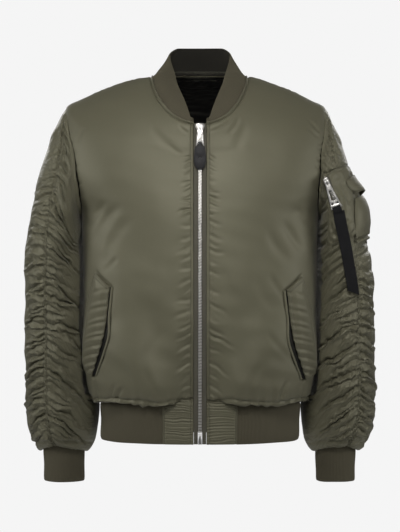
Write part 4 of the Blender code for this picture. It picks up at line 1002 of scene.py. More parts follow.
# Beside the front of each armhole: these rise away from the seam.
ARMHOLE_LEFT = (
    (-118, 16, 0.8, -0.7), (-129, 20, 1.3, -0.8), (-139, 20, 1.4, -0.9), (-150, 22, 1.5, -0.8), (-160, 20, 1.3, -0.9),
    (-171, 18, 1.2, -0.7), (-187, 12, 0.7, -0.5), (-207, 14, 0.8, -0.4),
)
ARMHOLE_RIGHT = (
    (-112, 14, 0.8, -0.6), (-128, 14, 0.9, -0.5), (-146, 12, 0.7, -0.5), (-166, 14, 0.9, -0.4), (-182, 12, 0.7, -0.4),
    (-200, 14, 0.8, -0.3), (-221, 16, 0.9, -0.3),
)
front_folds = rows_of(FOLD_COLUMNS, FRONT_FOLDS)
print("folds drawn on the fronts:", len(FRONT_FOLDS), "gathers at the zip:", len(ZIP_LEFT) + len(ZIP_RIGHT))

# %% The flaps' outline, which the fronts lie smooth under
FLAP_COLUMNS = ("front_deg", "front_z", "rear_deg", "rear_z")
FLAP = (
    (45, -380.6, 57.9, -355.4),
    (46.9, -420.7, 66.5, -403),
    (49.5, -460, 73, -442),
    (56.1, -499.9, 80, -483),
    (65, -538, 87, -526),
)
FLAP_LEFT_SHIFT = SimpleNamespace(degrees=-2.5, z=-0.006)
flap = Sections(FLAP_COLUMNS, FLAP, lambda row: (row.front_deg / 90, row.front_z))
flap_top, flap_foot = flap.at(0.0), flap.at(1.0)


def flap_shift(side):
    return FLAP_LEFT_SHIFT if side > 0 else SimpleNamespace(degrees=0.0, z=0.0)


def flap_sides(side, degrees, z):
    """How many degrees a place is past a flap's free edge and short of its seam, and its height on the flap."""
    shift = flap_shift(side)
    rows = flap.at(np.linspace(0, 1, 30))
    turn = np.abs((degrees + 180) % 360 - 180) - shift.degrees
    z = z - shift.z
    return turn - np.interp(-z, -rows.front_z, rows.front_deg), np.interp(-z, -rows.rear_z, rows.rear_deg) - turn, z


def mouth_width(z):
    """How many degrees the pocket's mouth gapes beside a flap, more towards the foot."""
    return 1.1 + 2.7 * smoothstep(flap_top.front_z - 0.045, flap_top.front_z - 0.095, z)


def flap_groove(side, degrees, z):
    """The front sinks beside a flap's free edge, into the pocket's mouth, deeper towards the foot."""
    past, short, z = flap_sides(side, degrees, z)
    top, foot = flap_top.front_z, flap_foot.front_z
    ends = smoothstep(foot - 0.004, foot + 0.004, z) * (1 - smoothstep(top - 0.006, top + 0.006, z))
    wide = mouth_width(z)
    deep = (0.0026 + 0.0012 * wide) * bell(past, -0.4 * wide, 0.5 * wide + 0.8)
    above = z - top - (flap_top.rear_z - top) * past / (flap_top.rear_deg - flap_top.front_deg)
    across = smoothstep(-1.5, 0.5, past) * smoothstep(-1.0, 1.5, short)
    return deep * ends + 0.0036 * across * bell(above, 0.001, 0.0022)


def under_flap(side, degrees, z):
    """1 where a flap covers the front, fading to 0 around it."""
    first, last, z = flap_sides(side, degrees, z)
    rows = flap.at(np.linspace(0, 1, 30))
    across = smoothstep(-3, 2, first) * smoothstep(-3, 2, last)
    upright = smoothstep(rows.front_z[-1] - 0.01, rows.front_z[-1] + 0.01, z)
    return across * upright * (1 - smoothstep(rows.rear_z[0] - 0.01, rows.rear_z[0] + 0.01, z))


# %% The panels
CLOTH = 0.0024
HEM_CORD = SimpleNamespace(z=-0.5822, high=0.0016, wide=0.0016, above=0.0048, groove=0.0034, tucked=0.0050)
NECK_BEAD = SimpleNamespace(wide=0.0034, high=0.0018, groove=0.0024, groove_at=0.0050)


def body_rows(step):
    """Levels from hem seam to neck seam, and the armhole's angle on the rows that end on it."""
    low = spaced(PIT * torso.length, step, first=FINE_EDGE) / torso.length
    psi = np.linspace(180, 0, 2 * round(0.30 / step / 2) + 1)
    top = TIP + spaced((1 - TIP) * torso.length, step, last=0.0007) / torso.length
    levels = np.concatenate([low[:-1], armhole_level(psi), top[1:]])
    angles = np.concatenate([np.full(len(low) - 1, 180.0), psi, np.zeros(len(top) - 1)])
    return levels[:, None], angles[:, None]


def neck_edge(distance):
    """The corded edge round the neck and the groove beside it."""
    bead = NECK_BEAD.high * np.clip(1 - ((distance - 0.0016) / (NECK_BEAD.wide / 2)) ** 2, 0, 1)
    groove = NECK_BEAD.groove * bell(distance, NECK_BEAD.groove_at, 0.0012)
    return bead - groove


def body_height(face, u, v):
    """What the fronts and the back share."""
    z = face[..., 2]
    low = 1 - smoothstep(-0.50, -0.20, z)
    height = swells(face, 0.085, 3) * (0.0004 + 0.0002 * low) + swells(face, 0.036, 4) * (0.0001 + 0.0003 * low)
    hem = v
    height += puckers(hem, u, 0.026, 0.034, 0.0026, 5) + puckers(hem, u, 0.011, 0.022, 0.0010, 6)
    neck = v[-1:] - v
    over = z - HEM_CORD.z - 0.0022 * swells(face, 0.045, 13)
    piping = HEM_CORD.high * bell(over, 0, HEM_CORD.wide)
    piping -= HEM_CORD.groove * bell(over, HEM_CORD.above, 0.0019)
    piping -= HEM_CORD.tucked * smoothstep(-0.001, -0.006, over)
    return height * smoothstep(0.0, 0.02, neck) + seam_roll(hem, 0.001) + piping + neck_edge(neck)


def build_front(side, word):
    levels, psi = body_rows(BODY_STEP)
    shares = shares_across(0.27, BODY_STEP, first=FINE_EDGE, last=FINE_EDGE)
    start, end = zip_degrees(levels), armhole_turn(psi)
    degrees = side * (start + (end - start) * shares)
    face, out = torso_point(degrees, levels), torso_normal(degrees, levels + 0 * degrees)
    u, v = across_and_along(face)
    x, z = face[..., 0], face[..., 2]
    far = u[:, -1:] - u
    wander = 0.0020 * swells(face, 0.030, 8)
    height = body_height(face, u, v)
    creases = single_folds(x, z, front_folds)
    rows = gather_rows(ZIP_LEFT if side > 0 else ZIP_RIGHT, 0.0024, ZIP_DEPTH)
    rows += small_gathers(-0.150, -0.575, 0.0085, 0.018, 0.0012, 0.4, 9 + side, 0.0013)
    creases -= gathers(u, z, rows, wander) * smoothstep(0.003, 0.008, u)
    creases -= gathers(far, z, gather_rows(ARMHOLE_LEFT if side > 0 else ARMHOLE_RIGHT, 0.0022), wander)
    height += creases * smoothstep(0.0, 0.012, v[-1:] - v)
    height *= 1 - 0.85 * under_flap(side, degrees, z)
    height += seam_roll(far, 0.0009, 0.0035) + zip_edge(u) - flap_groove(side, degrees, z)
    cut = (0.33, 0.62, 0.150)
    sewn(f"front_{word}_cloth", face, out, height, CLOTH, nylon, cut, lining, stands_for=f"front_{word}")


def zip_edge(distance):
    """The turned edge beside the zip, held down by a row of stitches."""
    stitched = 0.0009 * bell(distance, 0.0050, 0.0011)
    return seam_roll(distance, 0.0016, 0.0022) - stitched + 0.0005 * bell(distance, 0.0026, 0.0016)


BACK_FOLDS = rows_of(FOLD_COLUMNS, (
    (196, -246, 106, -335, 9, 2, 6), (190, -290, 128, -352, 7, 1.6, 3), (-194, -240, -120, -340, 9, 2.1, -8),
    (-188, -300, -112, -358, 6.5, 1.5, -3), (198, -215, 150, -250, 5.5, 1.5, 2),
    (-199, -205, -156, -248, 5.5, 1.5, -2), (-62, -98, 48, -92, 9, 1, 4), (-120, -430, -38, -500, 10, 1.6, -6),
    (138, -420, 52, -486, 9, 1.5, 5), (12, -440, -20, -555, 10, 1.3, 4), (-150, -500, -118, -565, 7, 1.4, 2),
    (160, -490, 110, -560, 7.5, 1.6, 3), (70, -500, 62, -570, 6.5, 1.2, 2), (-70, -515, -78, -572, 6, 1.2, 1),
    (-90, -180, -20, -190, 12, 0.9, 4), (105, -160, 30, -176, 11, 0.9, 4),
))


def build_back():
    levels, psi = body_rows(BACK_STEP)
    shares = shares_across(0.45, BACK_STEP, first=FINE_EDGE, last=FINE_EDGE)
    start = armhole_turn(360 - psi)
    degrees = start + (360 - 2 * start) * shares
    face, out = torso_point(degrees, levels), torso_normal(degrees, levels + 0 * degrees)
    u, v = across_and_along(face)
    side_edge = np.minimum(u, u[:, -1:] - u)
    height = body_height(face, u, v) + single_folds(face[..., 0], face[..., 2], BACK_FOLDS) \
        * smoothstep(0.0, 0.012, v[-1:] - v)
    height += puckers(side_edge, v, 0.015, 0.016, 0.0009, 12) + seam_roll(side_edge, 0.0009, 0.0035)
    sewn("back_cloth", face, out, height, CLOTH, nylon, (0.56, 0.66, 0.300), lining, stands_for="back")


build_front(1, "left")
build_front(-1, "right")
build_back()

# %% [markdown]
# ## The sleeves
# Each sleeve is cut in two pieces, and down the front of the arm runs a seam that is drawn up as it is sewn. That is
# what makes this jacket's arms: troughs leave the seam on both sides every few millimetres, most of them short, and
# every second or third one runs on for a hand's width, falling towards the elbow side and the body. The large ones
# are listed, and the small ones between them are drawn at random from a fixed seed.

# %% Gathers of the sleeves
# Height at the seam, reach, depth and slope; a fifth number says how far from the seam a trough starts.
RIGHT_OUTER = (
    (-144, 30, 2.2, 0.25), (-177, 42, 3, 0.1), (-204, 55, 3.6, 0.2), (-220, 65, 3.8, 0.25), (-239, 34, 2.4, 0.3),
    (-255.5, 75, 4.2, 0.3), (-268, 36, 2.6, 0.2), (-282, 80, 4.4, 0.25), (-297, 50, 3.2, 0.35), (-316, 65, 3.6, 0.15),
    (-334, 85, 4.4, 0.32), (-346, 60, 3.4, 0.36), (-367, 50, 3.2, -0.05), (-373, 75, 4, 0.5), (-389, 42, 3.4, -0.2),
    (-398, 50, 4.2, -0.35), (-415, 30, 2.2, 0.1), (-433, 85, 4.8, 0.35), (-447, 52, 3.8, -0.15), (-457, 50, 3, -0.1),
    (-467, 46, 3.2, 0), (-476, 75, 4, 0.25), (-489, 42, 2.8, 0.1), (-501, 62, 3.4, 0.3), (-511, 95, 5, 0.42),
    (-527, 85, 4.4, 0.45), (-543, 70, 4, 0.4), (-561, 105, 5.4, 0.5), (-582, 80, 4, 0.45), (-595, 50, 3.2, 0.4),
    (-609, 105, 5.2, 0.75), (-625, 45, 3, 0.5), (-639, 60, 4, 0.6),
)
RIGHT_INNER = (
    (-122, 26, 2, 0.6), (-151, 60, 3.8, 0.5), (-172, 28, 2.2, 0.8), (-190, 32, 2.2, 0.9), (-218, 55, 3.4, 0.9),
    (-234, 85, 4.6, 0.55), (-262, 40, 2.8, 0.7), (-290, 85, 4.6, 0.95), (-309, 70, 3.4, 0.6), (-331, 50, 2.8, 0.3),
    (-341, 55, 3.2, 0.35), (-362, 95, 4.8, 1, 18), (-380, 30, 2.4, 0.4), (-396, 95, 4.6, 0.3), (-412, 26, 2.2, 0.2),
    (-427, 40, 3, 0.12), (-438, 95, 4.8, 0.45, 18), (-432, 100, 6, 1.2, 40), (-457, 46, 3.2, 0.15),
    (-480, 100, 4, 0.75), (-494, 28, 2.2, 0.4), (-507, 80, 4.4, 1), (-528, 125, 5, 0.95), (-541, 30, 2.2, 0.6),
    (-553, 34, 2.8, 0.5), (-571, 34, 2.8, 0.5), (-588, 85, 4.2, 0.75), (-609, 85, 4.8, 0.9), (-622, 30, 2.4, 0.7),
    (-634, 42, 3.2, 0.8),
)
LEFT_OUTER = (
    (-352, 50, 3, 0.2), (-372, 70, 3.6, 0.3), (-389, 55, 3.4, 0.25), (-405, 85, 4.4, 0.35), (-421, 50, 3.2, 0.2),
    (-438, 75, 4.2, 0.4), (-452, 45, 3, 0.25), (-466, 95, 4.8, 0.4), (-484, 60, 3.6, 0.3), (-500, 85, 4.4, 0.45),
    (-517, 55, 3.2, 0.35), (-533, 95, 4.8, 0.5), (-551, 60, 3.4, 0.4), (-566, 85, 4.4, 0.5), (-585, 55, 3.4, 0.45),
    (-600, 90, 4.6, 0.65), (-618, 50, 3.2, 0.5), (-636, 55, 3.4, 0.6),
)
LEFT_INNER = (
    (-352, 60, 3, 0.6), (-371, 85, 3.6, 0.7), (-392, 50, 3, 0.6), (-405, 110, 4.4, 0.62), (-425, 50, 3.2, 0.6),
    (-445, 120, 5.2, 0.62), (-463, 48, 3, 0.6), (-484, 120, 5.4, 0.55), (-497, 40, 2.8, 0.5), (-509, 70, 3.6, 0.65),
    (-526, 110, 4.8, 0.55), (-543, 50, 3.2, 0.6), (-561, 105, 5, 0.65), (-579, 55, 3.4, 0.7), (-597, 85, 4.4, 0.8),
    (-614, 50, 3.2, 0.8), (-632, 50, 3.4, 0.9),
)
# On the left sleeve, folds that come in from the armhole below and behind the pocket, as seen from the front.
LEFT_SLEEVE_FOLDS = rows_of(FOLD_COLUMNS, (
    (243, -290, 204, -322, 3.4, 4.4, 3), (252, -312, 202, -356, 4, 5.2, 4), (256, -340, 203, -388, 3.8, 4.8, 3),
    (246, -303, 208, -338, 2.4, 2.6, 2), (252, -328, 206, -372, 2.6, 2.8, 3), (238, -262, 208, -288, 3, 3.6, 2),
    (234, -274, 206, -304, 2.4, 2.6, 2), (230, -240, 212, -252, 2.6, 2.8, 1), (276, -318, 300, -300, 2.6, 2.8, 2),
    (274, -330, 306, -314, 3, 3.2, 2), (222, -132, 236, -160, 3, 2.6, 1), (232, -120, 250, -150, 3.4, 2.4, 1),
    (240, -108, 254, -130, 2.6, 2.2, 1), (214, -118, 224, -142, 2.4, 2.2, 1), (212, -80, 228, -100, 2.2, 2.6, 1),
    (208, -92, 226, -118, 2.4, 3, 2), (214, -104, 238, -124, 2.2, 2.8, -1), (208, -112, 222, -134, 2.4, 3, 1),
    (222, -122, 248, -144, 2.4, 3.2, 2), (210, -132, 230, -150, 2.2, 2.8, -1), (226, -138, 252, -152, 2, 2.4, 1),
    (212, -146, 236, -166, 2.4, 3, 1), (232, -154, 256, -166, 2, 2.4, 0), (214, -160, 228, -176, 2.2, 2.6, 1),
    (214, -181.5, 258, -166.5, 1.8, 6, 1), (214, -210, 204, -236, 2.6, 3, 1), (222, -226, 206, -262, 3, 3.2, 2),
))
# Creases of the pocket patch on that sleeve, as seen from the front.
PATCH_FOLDS = rows_of(FOLD_COLUMNS, (
    (226, -150, 248, -176, 3.2, 2, 2), (236, -135, 262, -158, 3.6, 1.8, 2), (222, -215, 240, -262, 3, 2.4, -2),
    (218, -232, 236, -285, 3, 2.4, 2), (262, -262, 232, -296, 3.4, 2.6, 3), (286, -300, 256, -322, 3.2, 2.4, 2),
    (216, -183, 257, -169, 2, 2.2, 1), (250, -196, 262, -232, 2.6, 2.2, 1), (246, -212, 254, -250, 2.4, 2, -1),
    (222, -262, 246, -300, 2.8, 2.4, 2), (216, -276, 234, -306, 2.6, 2.4, 1), (270, -282, 244, -312, 2.8, 2.4, -2),
))
GATHERS = {1: (LEFT_INNER, LEFT_OUTER), -1: (RIGHT_INNER, RIGHT_OUTER)}
GATHER_TOP = {1: -0.335, -1: -0.100}

# %% The sleeves' cloth
SLEEVE_STEP, SLEEVE_BACK_STEP = 0.0023, 0.0030
SLEEVE_SWELL = 0.0016
SLEEVE_DROP = 0.45
GATHER_DEPTH = 1.6
TWIN_AWAY = 0.0030  # from the gathered seam to each of its rows of stitches


def sleeve_turns(side, part, stations, shares):
    """The front piece runs from the gathered seam round to the underarm seam, and the back piece the rest."""
    seam = gathered_seam(side, stations)
    if part == "front":
        first, last = seam, UNDERARM_SEAM + 0 * seam
    else:
        first, last = UNDERARM_SEAM + 0 * seam, seam + 360
    near = 1 - smoothstep(0, 0.03, stations)
    top_first, top_last = (20.0, 200.0) if part == "front" else (200.0, 380.0)
    first, last = first + (top_first - first) * near, last + (top_last - last) * near
    return first + (last - first) * shares


def twin_seam(away, along):
    """Two rows of stitches, one on each side of the seam, with a ladder of short crinkles between and beside them."""
    rows = -0.0015 * bell(away, TWIN_AWAY, 0.0009)
    turn = 2 * math.pi * along / 0.0058
    ladder = np.sin(turn + 1.3 * np.sin(turn / 2.7) + 0.8 * np.sin(turn / 6.1)) - 0.3
    return rows + 0.0011 * ladder * bell(away, 0, 0.0055) - 0.0006 * bell(away, 0, 0.0008)


def sleeve_height(side, part, face, seam_away, along):
    x, z = face[..., 0], face[..., 2]
    inner_rows, outer_rows = GATHERS[side]
    table, seed = (inner_rows, 21) if part == "front" else (outer_rows, 22)
    rows = gather_rows(table, 0.0026, GATHER_DEPTH)
    slope = 0.6 if part == "front" else 0.3
    rows += small_gathers(GATHER_TOP[side], -0.655, 0.0060, 0.022, 0.0030, slope, seed + side, 0.0016)
    rows += small_gathers(GATHER_TOP[side], -0.650, 0.0130, 0.060, 0.0040, slope, seed + side + 7, 0.0026)
    if side > 0:
        rows += small_gathers(-0.085, -0.160, 0.0060, 0.030, 0.0024, slope, seed + 15, 0.0016)
    wander = 0.0022 * swells(face, 0.040, 23) + 0.0010 * swells(face, 0.014, 24)
    level = face[:, :1, 2] if part == "front" else face[:, -1:, 2]
    level = level + (z - level) * smoothstep(-0.30, -0.18, z)
    sunk = gathers(np.maximum(seam_away - TWIN_AWAY, 0), level, rows, wander)
    sunk *= 0.30 + 0.70 * smoothstep(TWIN_AWAY - 0.001, TWIN_AWAY + 0.003, seam_away)
    active = 1.0
    if side > 0:
        active = smoothstep(GATHER_TOP[side] + 0.02, GATHER_TOP[side] - 0.02, z) + smoothstep(-0.175, -0.155, z)
    near = bell(seam_away, 0, 0.10)
    height = (SLEEVE_SWELL * near * smoothstep(0, 0.012, seam_away) - sunk) * active
    height += twin_seam(seam_away, along) * active
    height += swells(face, 0.045, 25) * 0.0007 + swells(face, 0.100, 26) * 0.0008
    if side > 0:
        height += single_folds(x, z, LEFT_SLEEVE_FOLDS) * (1 - smoothstep(-0.02, 0.06, face[..., 1]))
    return height


def build_sleeve(side, word):
    stations = shares_down(0.66, SLEEVE_STEP, first=FINE_EDGE, last=0.0012)
    for part, width, cut in (("front", 0.165, (0.18, 0.68, 0.100)), ("back", 0.290, (0.33, 0.68, 0.190))):
        step = SLEEVE_STEP if part == "front" else SLEEVE_BACK_STEP
        shares = shares_across(width, step, first=FINE_EDGE, last=FINE_EDGE)
        psi = sleeve_turns(side, part, stations, shares)
        face = sleeve_form(side, psi, stations)
        out = normals_of(face, face - face.mean(axis=1, keepdims=True))
        u, v = across_and_along(face)
        seam_away = u if part == "front" else u[:, -1:] - u
        under = u[:, -1:] - u if part == "front" else u
        armhole, cuff_edge = v, v[-1:] - v
        height = sleeve_height(side, part, face, seam_away, v)
        height *= smoothstep(0, 0.012, armhole) * smoothstep(0, 0.020, cuff_edge) * smoothstep(0, 0.010, under)
        height += puckers(cuff_edge, u, 0.012, 0.018, 0.0010, 31) + puckers(under, v, 0.014, 0.016, 0.0010, 32)
        height += puckers(armhole, u, 0.013, 0.014, 0.0008, 33)
        inside = bell(psi, 185, 40) * smoothstep(PIT_Z + 0.03, PIT_Z - 0.03, face[..., 2])
        height = height * (1 - 0.8 * inside) + 0.0034 * inside
        height += seam_roll(under) + seam_roll(armhole, 0.0008, 0.0035)
        roll = bell(cuff_edge, 0.034, 0.0035) * (1 - inside)
        height -= 0.0040 * roll * (0.7 + 0.3 * swells(face, 0.05, 34))
        sewn(
            f"sleeve_{word}_{part}_cloth", face, out, height, CLOTH, gathered_lit_nylon, cut, lining,
            stands_for=f"sleeve_{word}_{part}", held="gathered",
            drop=SLEEVE_DROP * smoothstep(0.010, 0.060, cuff_edge),
        )


build_sleeve(1, "left")
build_sleeve(-1, "right")

# %% [markdown]
# ## Rib knit
# Collar, waistband and cuffs are a 1 by 1 rib: wales that stand up with gaps between them. The ribs are real
# geometry, six points to each, because their shadows are what makes knit look like knit from close by. Each piece is
# a doubled band, so its free edge is a soft fold and not a cut.

# %% Ribbed pieces
RIB = 0.0032
TAB_SHARE = 0.18  # how much of the way from the zip to the side a waistband tab takes
RIB_PITCH, RIB_DEPTH, RIB_POINTS = 0.0026, 0.00045, 6


def ribbed(length):
    """Shares along a length, six points to each rib, and the height of the ribs there."""
    ribs = 2 * round(length / RIB_PITCH / 2)
    turn = np.arange(ribs * RIB_POINTS + 1) / RIB_POINTS
    wave = np.abs(np.cos(math.pi * turn)) ** 0.7
    return (turn / ribs)[None], (wave * RIB_DEPTH - RIB_DEPTH / 2)[None]


def folded_edge(face):
    """How far each point is from the last row, a doubled band's fold, and how thick the band is there."""
    v = distances(face, 0)
    edge = v[-1:] - v
    return edge, free_edge(edge, RIB)


def build_waistband():
    start = float(zip_degrees(0.0))
    first = start + (90 - start) * TAB_SHARE
    shares, ribs = ribbed(0.93)
    turns = first + (360 - 2 * first) * shares
    rows = shares_down(0.076, 0.0085, first=0.0010, last=0.0005, margin=0.003)
    face = band_point(turns, rows)
    out = normals_of(face, face * (1, 1, 0))
    edge, wall = folded_edge(face)
    height = ribs * smoothstep(0, 0.002, edge) - (RIB - wall) / 2
    height = height + swells(face, 0.060, 41) * 0.0006
    sewn(
        "waistband_knit", face, out, height, wall, knit, (0.80, 0.076, 0.0608), stands_for="waistband",
        slot="rib_knit", held="stretched", flat_edges="tlr",
    )


def build_cuff(side, word):
    shares, ribs = ribbed(0.22)
    turns = 20 + 360 * shares[:, :-1]
    rows = shares_down(0.067, 0.0040, first=0.0008, last=0.0005, margin=0.003)
    face = cuff_point(side, turns, rows)
    middle = face.mean(axis=1, keepdims=True)
    out = normals_of(face, face - middle, around=True)
    edge, wall = folded_edge(face)
    height = ribs[:, :-1] * smoothstep(0, 0.002, edge) - (RIB - wall) / 2 + swells(face, 0.040, 42) * 0.0005
    sewn(
        f"cuff_{word}_knit", face, out, height, wall, knit, (0.19, 0.067, 0.0127), stands_for=f"cuff_{word}",
        slot="rib_knit", held="stretched", around=True, flat_edges="t",
    )


def build_collar():
    start = float(zip_degrees(1.0))
    shares, ribs = ribbed(0.44)
    turns = start + (360 - 2 * start) * shares
    rows = shares_down(0.066, 0.0036, first=0.0008, last=0.0005, margin=0.003)
    face = collar_point(turns + 0 * rows, rows + 0 * turns)
    out = normals_of(face, face - (0, -0.02, 0))
    edge, wall = folded_edge(face)
    front = np.minimum(distances(face, 1), distances(face[:, ::-1], 1)[:, ::-1])
    height = ribs * smoothstep(0, 0.002, edge) * smoothstep(0.0022, 0.0036, front) - (RIB - wall) / 2
    height += swells(face, 0.050, 43) * 0.0005 + 0.0010 * bell(front, 0.0014, 0.0012)
    # Its inner face takes the darkened knit: painted shade inside the collar.
    sewn(
        "collar_knit", face, out, height, wall, knit, (0.46, 0.062, 0.0215), knit_painted_shade, stands_for="collar",
        slot="rib_knit", held="stretched", flat_edges="tlr",
    )


build_waistband()
build_cuff(1, "left")
build_cuff(-1, "right")
build_collar()


# %% [markdown]
# ## Tabs, flaps and linings
# Two short tabs of the face fabric close the waistband at the zip. They are backed with a strip of the rib, so the
# nylon ruches across them. The pocket flaps are slanted, padded and stitched round their edges; below the free edge
# shows the welt of the pocket's mouth. Inside the neck we see the taffeta lining and the crinkled tape that covers
# the collar's seam.

# %% Waistband tabs
def build_tab(side, word):
    start = float(zip_degrees(0.0))
    last = start + (90 - start) * TAB_SHARE
    shares = shares_across(0.030, 0.0014, first=0.0006, last=0.0006, margin=0.003)
    rows = shares_down(0.076, 0.0012, first=0.0008, last=0.0005, margin=0.003)
    degrees = side * (start + (last - start) * shares)
    face = band_point(degrees + 0 * rows, rows + 0 * degrees)
    out = normals_of(face, face * (1, 1, 0))
    u, v = across_and_along(face)
    edge, wall = folded_edge(face)
    far = u[:, -1:] - u
    wander = 0.0012 * swells(face, 0.030, 51 + side)
    ruches = gathers(u * 0, v, small_ruches(0.004, 0.072, 0.0038, 61 + side), wander)
    height = (0.0008 - ruches) * smoothstep(0, 0.004, edge) * smoothstep(0.0022, 0.0055, far)
    height += zip_edge(u) - 0.0009 * bell(far, 0.0024, 0.0009) - (RIB - wall) / 2
    sewn(
        f"hem_tab_{word}_cloth", face, out, height, wall, nylon, (0.056, 0.076, 0.0042),
        stands_for=f"hem_tab_{word}", held="gathered", flat_edges="tlr",
    )


def small_ruches(first, last, pitch, seed):
    """Uneven troughs that lie across a whole tab, given down it."""
    draw = np.random.default_rng(seed)
    rows, place = [], first
    while place < last:
        rows.append(SimpleNamespace(
            z=place, reach=1.0, depth=0.0011 * draw.uniform(0.5, 1.3), slope=0.0,
            width=0.0009 * draw.uniform(0.8, 1.3), start=0.0,
        ))
        place += pitch * draw.uniform(0.6, 1.4)
    return rows


build_tab(1, "left")
build_tab(-1, "right")

# %% Pocket flaps and their welts
FLAP_LIFT, FLAP_CLOTH = 0.0018, 0.0024
FLAP_PUFFS = rows_of(("z", "size"), (
    (-384, 0.9), (-402, 0.6), (-414, 1), (-431, 0.7), (-441, 1), (-456, 0.6), (-465, 1), (-482, 0.8), (-497, 1),
    (-512, 0.7), (-524, 0.9),
))


def flap_place(side, stations, shares):
    """The angle and level of places on a pocket flap, from its front edge to its rear seam."""
    shift, row = flap_shift(side), flap.at(stations)
    degrees = side * (row.front_deg + (row.rear_deg - row.front_deg) * shares + shift.degrees)
    return degrees, body_level(row.front_z + (row.rear_z - row.front_z) * shares + shift.z)


def flap_puffs(u, z, shift):
    """Soft troughs that come in from the flap's front edge."""
    rows = [SimpleNamespace(z=puff.z + shift, reach=0.05, depth=0.0023 * puff.size, slope=0.25, width=0.0026, start=0.0)
            for puff in FLAP_PUFFS]
    return gathers(u, z, rows, 0.0)


def build_flap(side, word):
    stations = shares_down(0.175, 0.0019, first=0.0007, last=0.0007, margin=0.004)
    shares = shares_across(0.055, 0.0019, first=0.0006, last=0.0006, margin=0.004)
    degrees, level = flap_place(side, stations, shares)
    face = torso_point(degrees, level, FLAP_LIFT + FLAP_CLOTH)
    out = torso_normal(degrees, level)
    u, v = across_and_along(face)
    front, rear, ends = u, u[:, -1:] - u, np.minimum(v, v[-1:] - v)
    edge = np.minimum(front, ends)
    wall = free_edge(np.minimum(edge, rear), FLAP_CLOTH)
    height = 0.0026 * smoothstep(0.006, 0.018, np.minimum(edge, rear)) - (FLAP_CLOTH - wall) / 2
    height -= flap_puffs(front, face[..., 2], flap_shift(side).z) * smoothstep(0.004, 0.012, rear)
    for away in (0.0022, 0.0062):
        height -= 0.0008 * bell(edge, away, 0.0008) * smoothstep(0.001, 0.003, rear)
    height -= 0.0007 * bell(rear, 0.0022, 0.0008)
    sewn(
        f"pocket_flap_{word}_cloth", face, out, height, wall, nylon, (0.075, 0.20, 0.0105),
        stands_for=f"pocket_flap_{word}", flat_edges="",
    )


def build_mouth(side, word):
    """Beside a flap's free edge, a black strip that paints the shade in the pocket's mouth, and then the welt along it.
    """
    stations = shares_down(0.172, 0.0022, first=0.0008, last=0.0008, margin=0.004) * 0.985
    shares = shares_across(0.010, 0.0010, first=0.0006, last=0.0006, margin=0.003)
    row, shift = flap.at(stations), flap_shift(side)
    wide = mouth_width(row.front_z)
    closed = smoothstep(1.0, 0.93, stations)
    for name, slot, finish, first, last, lift, cut in (
        # The black strip in the mouth is painted shade.
        ("pocket_mouth", "lining", lining, 0.9, -wide * closed, -0.0004, (0.020, 0.18, 0.0017)),
        ("pocket_welt", "nylon", nylon, 0.3 - wide, -wide - 1.3, 0.0012, (0.012, 0.18, 0.0009)),
    ):
        degrees = side * (row.front_deg + shift.degrees + last + (first - last) * shares)
        level = body_level(row.front_z + shift.z + 0 * degrees)
        face, out = torso_point(degrees, level, lift), torso_normal(degrees, level)
        height = 0.0006 * np.sin(math.pi * shares) + 0 * degrees
        sewn(f"{name}_{word}", face, out, height, 0.0010, finish, cut, slot=slot, flat_edges="")


build_flap(1, "left")
build_flap(-1, "right")
build_mouth(1, "left")
build_mouth(-1, "right")

# %% Inside the neck
LINING_DEPTH, LINING_TOP = 0.0066, 0.985


def build_lining():
    first = torso.station("high arm")
    levels = shares_down(0.17, 0.0028) * (LINING_TOP - first) + first
    turns = 118 + 124 * shares_across(0.27, 0.0030)
    face, out = torso_point(turns, levels, -LINING_DEPTH), -torso_normal(turns, levels)
    v = distances(face, 0)
    from_top = v[-1:] - v
    height = swells(face * (1, 1, 2.2), 0.030, 71) * 0.0008 + swells(face * (1, 1, 3), 0.013, 72) * 0.0004
    height -= 0.0012 * bell(from_top, 0.021, 0.0012)
    height -= 0.0007 * bell(from_top, 0.030, 0.0010)
    sewn(
        "lining_back_cloth", face, out, height, 0.0008, lining, (0.32, 0.20, 0.055), stands_for="lining_back",
        slot="lining",
    )


def build_neck_tape():
    """The crinkled tape over the collar's seam, inside the back of the neck."""
    turns = 100 + 160 * shares_across(0.21, 0.0016)
    rows = shares_down(0.012, 0.0012)
    top = collar_point(turns, 0.13 + 0 * turns) - collar_out(turns) * (RIB + 0.0016)
    low = torso_point(turns, 0.978 + 0 * turns, -0.0054)
    face = top + (low - top) * rows[..., None]
    out = normals_of(face, (0, -0.02, 0) - face)
    along = distances(face, 1)
    height = 0.0012 * np.sin(math.pi * rows) + puckers(0.002 + 0 * along, along, 0.0055, 1.0, 0.0007, 73)
    sewn("neck_tape", face, out, height, 0.0008, neck_tape_cloth, (0.27, 0.020, 0.0050), slot="lining")


def collar_out(turns):
    around = collar_point(turns + 1, 0.13) - collar_point(turns - 1, 0.13)
    up = collar_point(turns, 0.20) - collar_point(turns, 0.06)
    return unit(np.cross(around, up))


build_lining()
build_neck_tape()

# %% [markdown]
# ## One tree for everything that repeats
# Teeth and stitches are the same problem: copies of one small shape, evenly spaced along a path, each turned to the
# cloth under it. So there is one Geometry Nodes tree. Its input is a set of lines whose points carry two directions,
# which way a copy's length lies and which way the cloth faces. It resamples the lines, places the copies, makes them
# real and gives them their finish.

# %% The tree
def new_tree(name, inputs):
    tree = bpy.data.node_groups.new(name, "GeometryNodeTree")
    tree.interface.new_socket("Geometry", in_out="INPUT", socket_type="NodeSocketGeometry")
    names = {label: tree.interface.new_socket(label, in_out="INPUT", socket_type=kind).identifier
             for label, kind in inputs.items()}
    tree.interface.new_socket("Geometry", in_out="OUTPUT", socket_type="NodeSocketGeometry")
    return tree, names


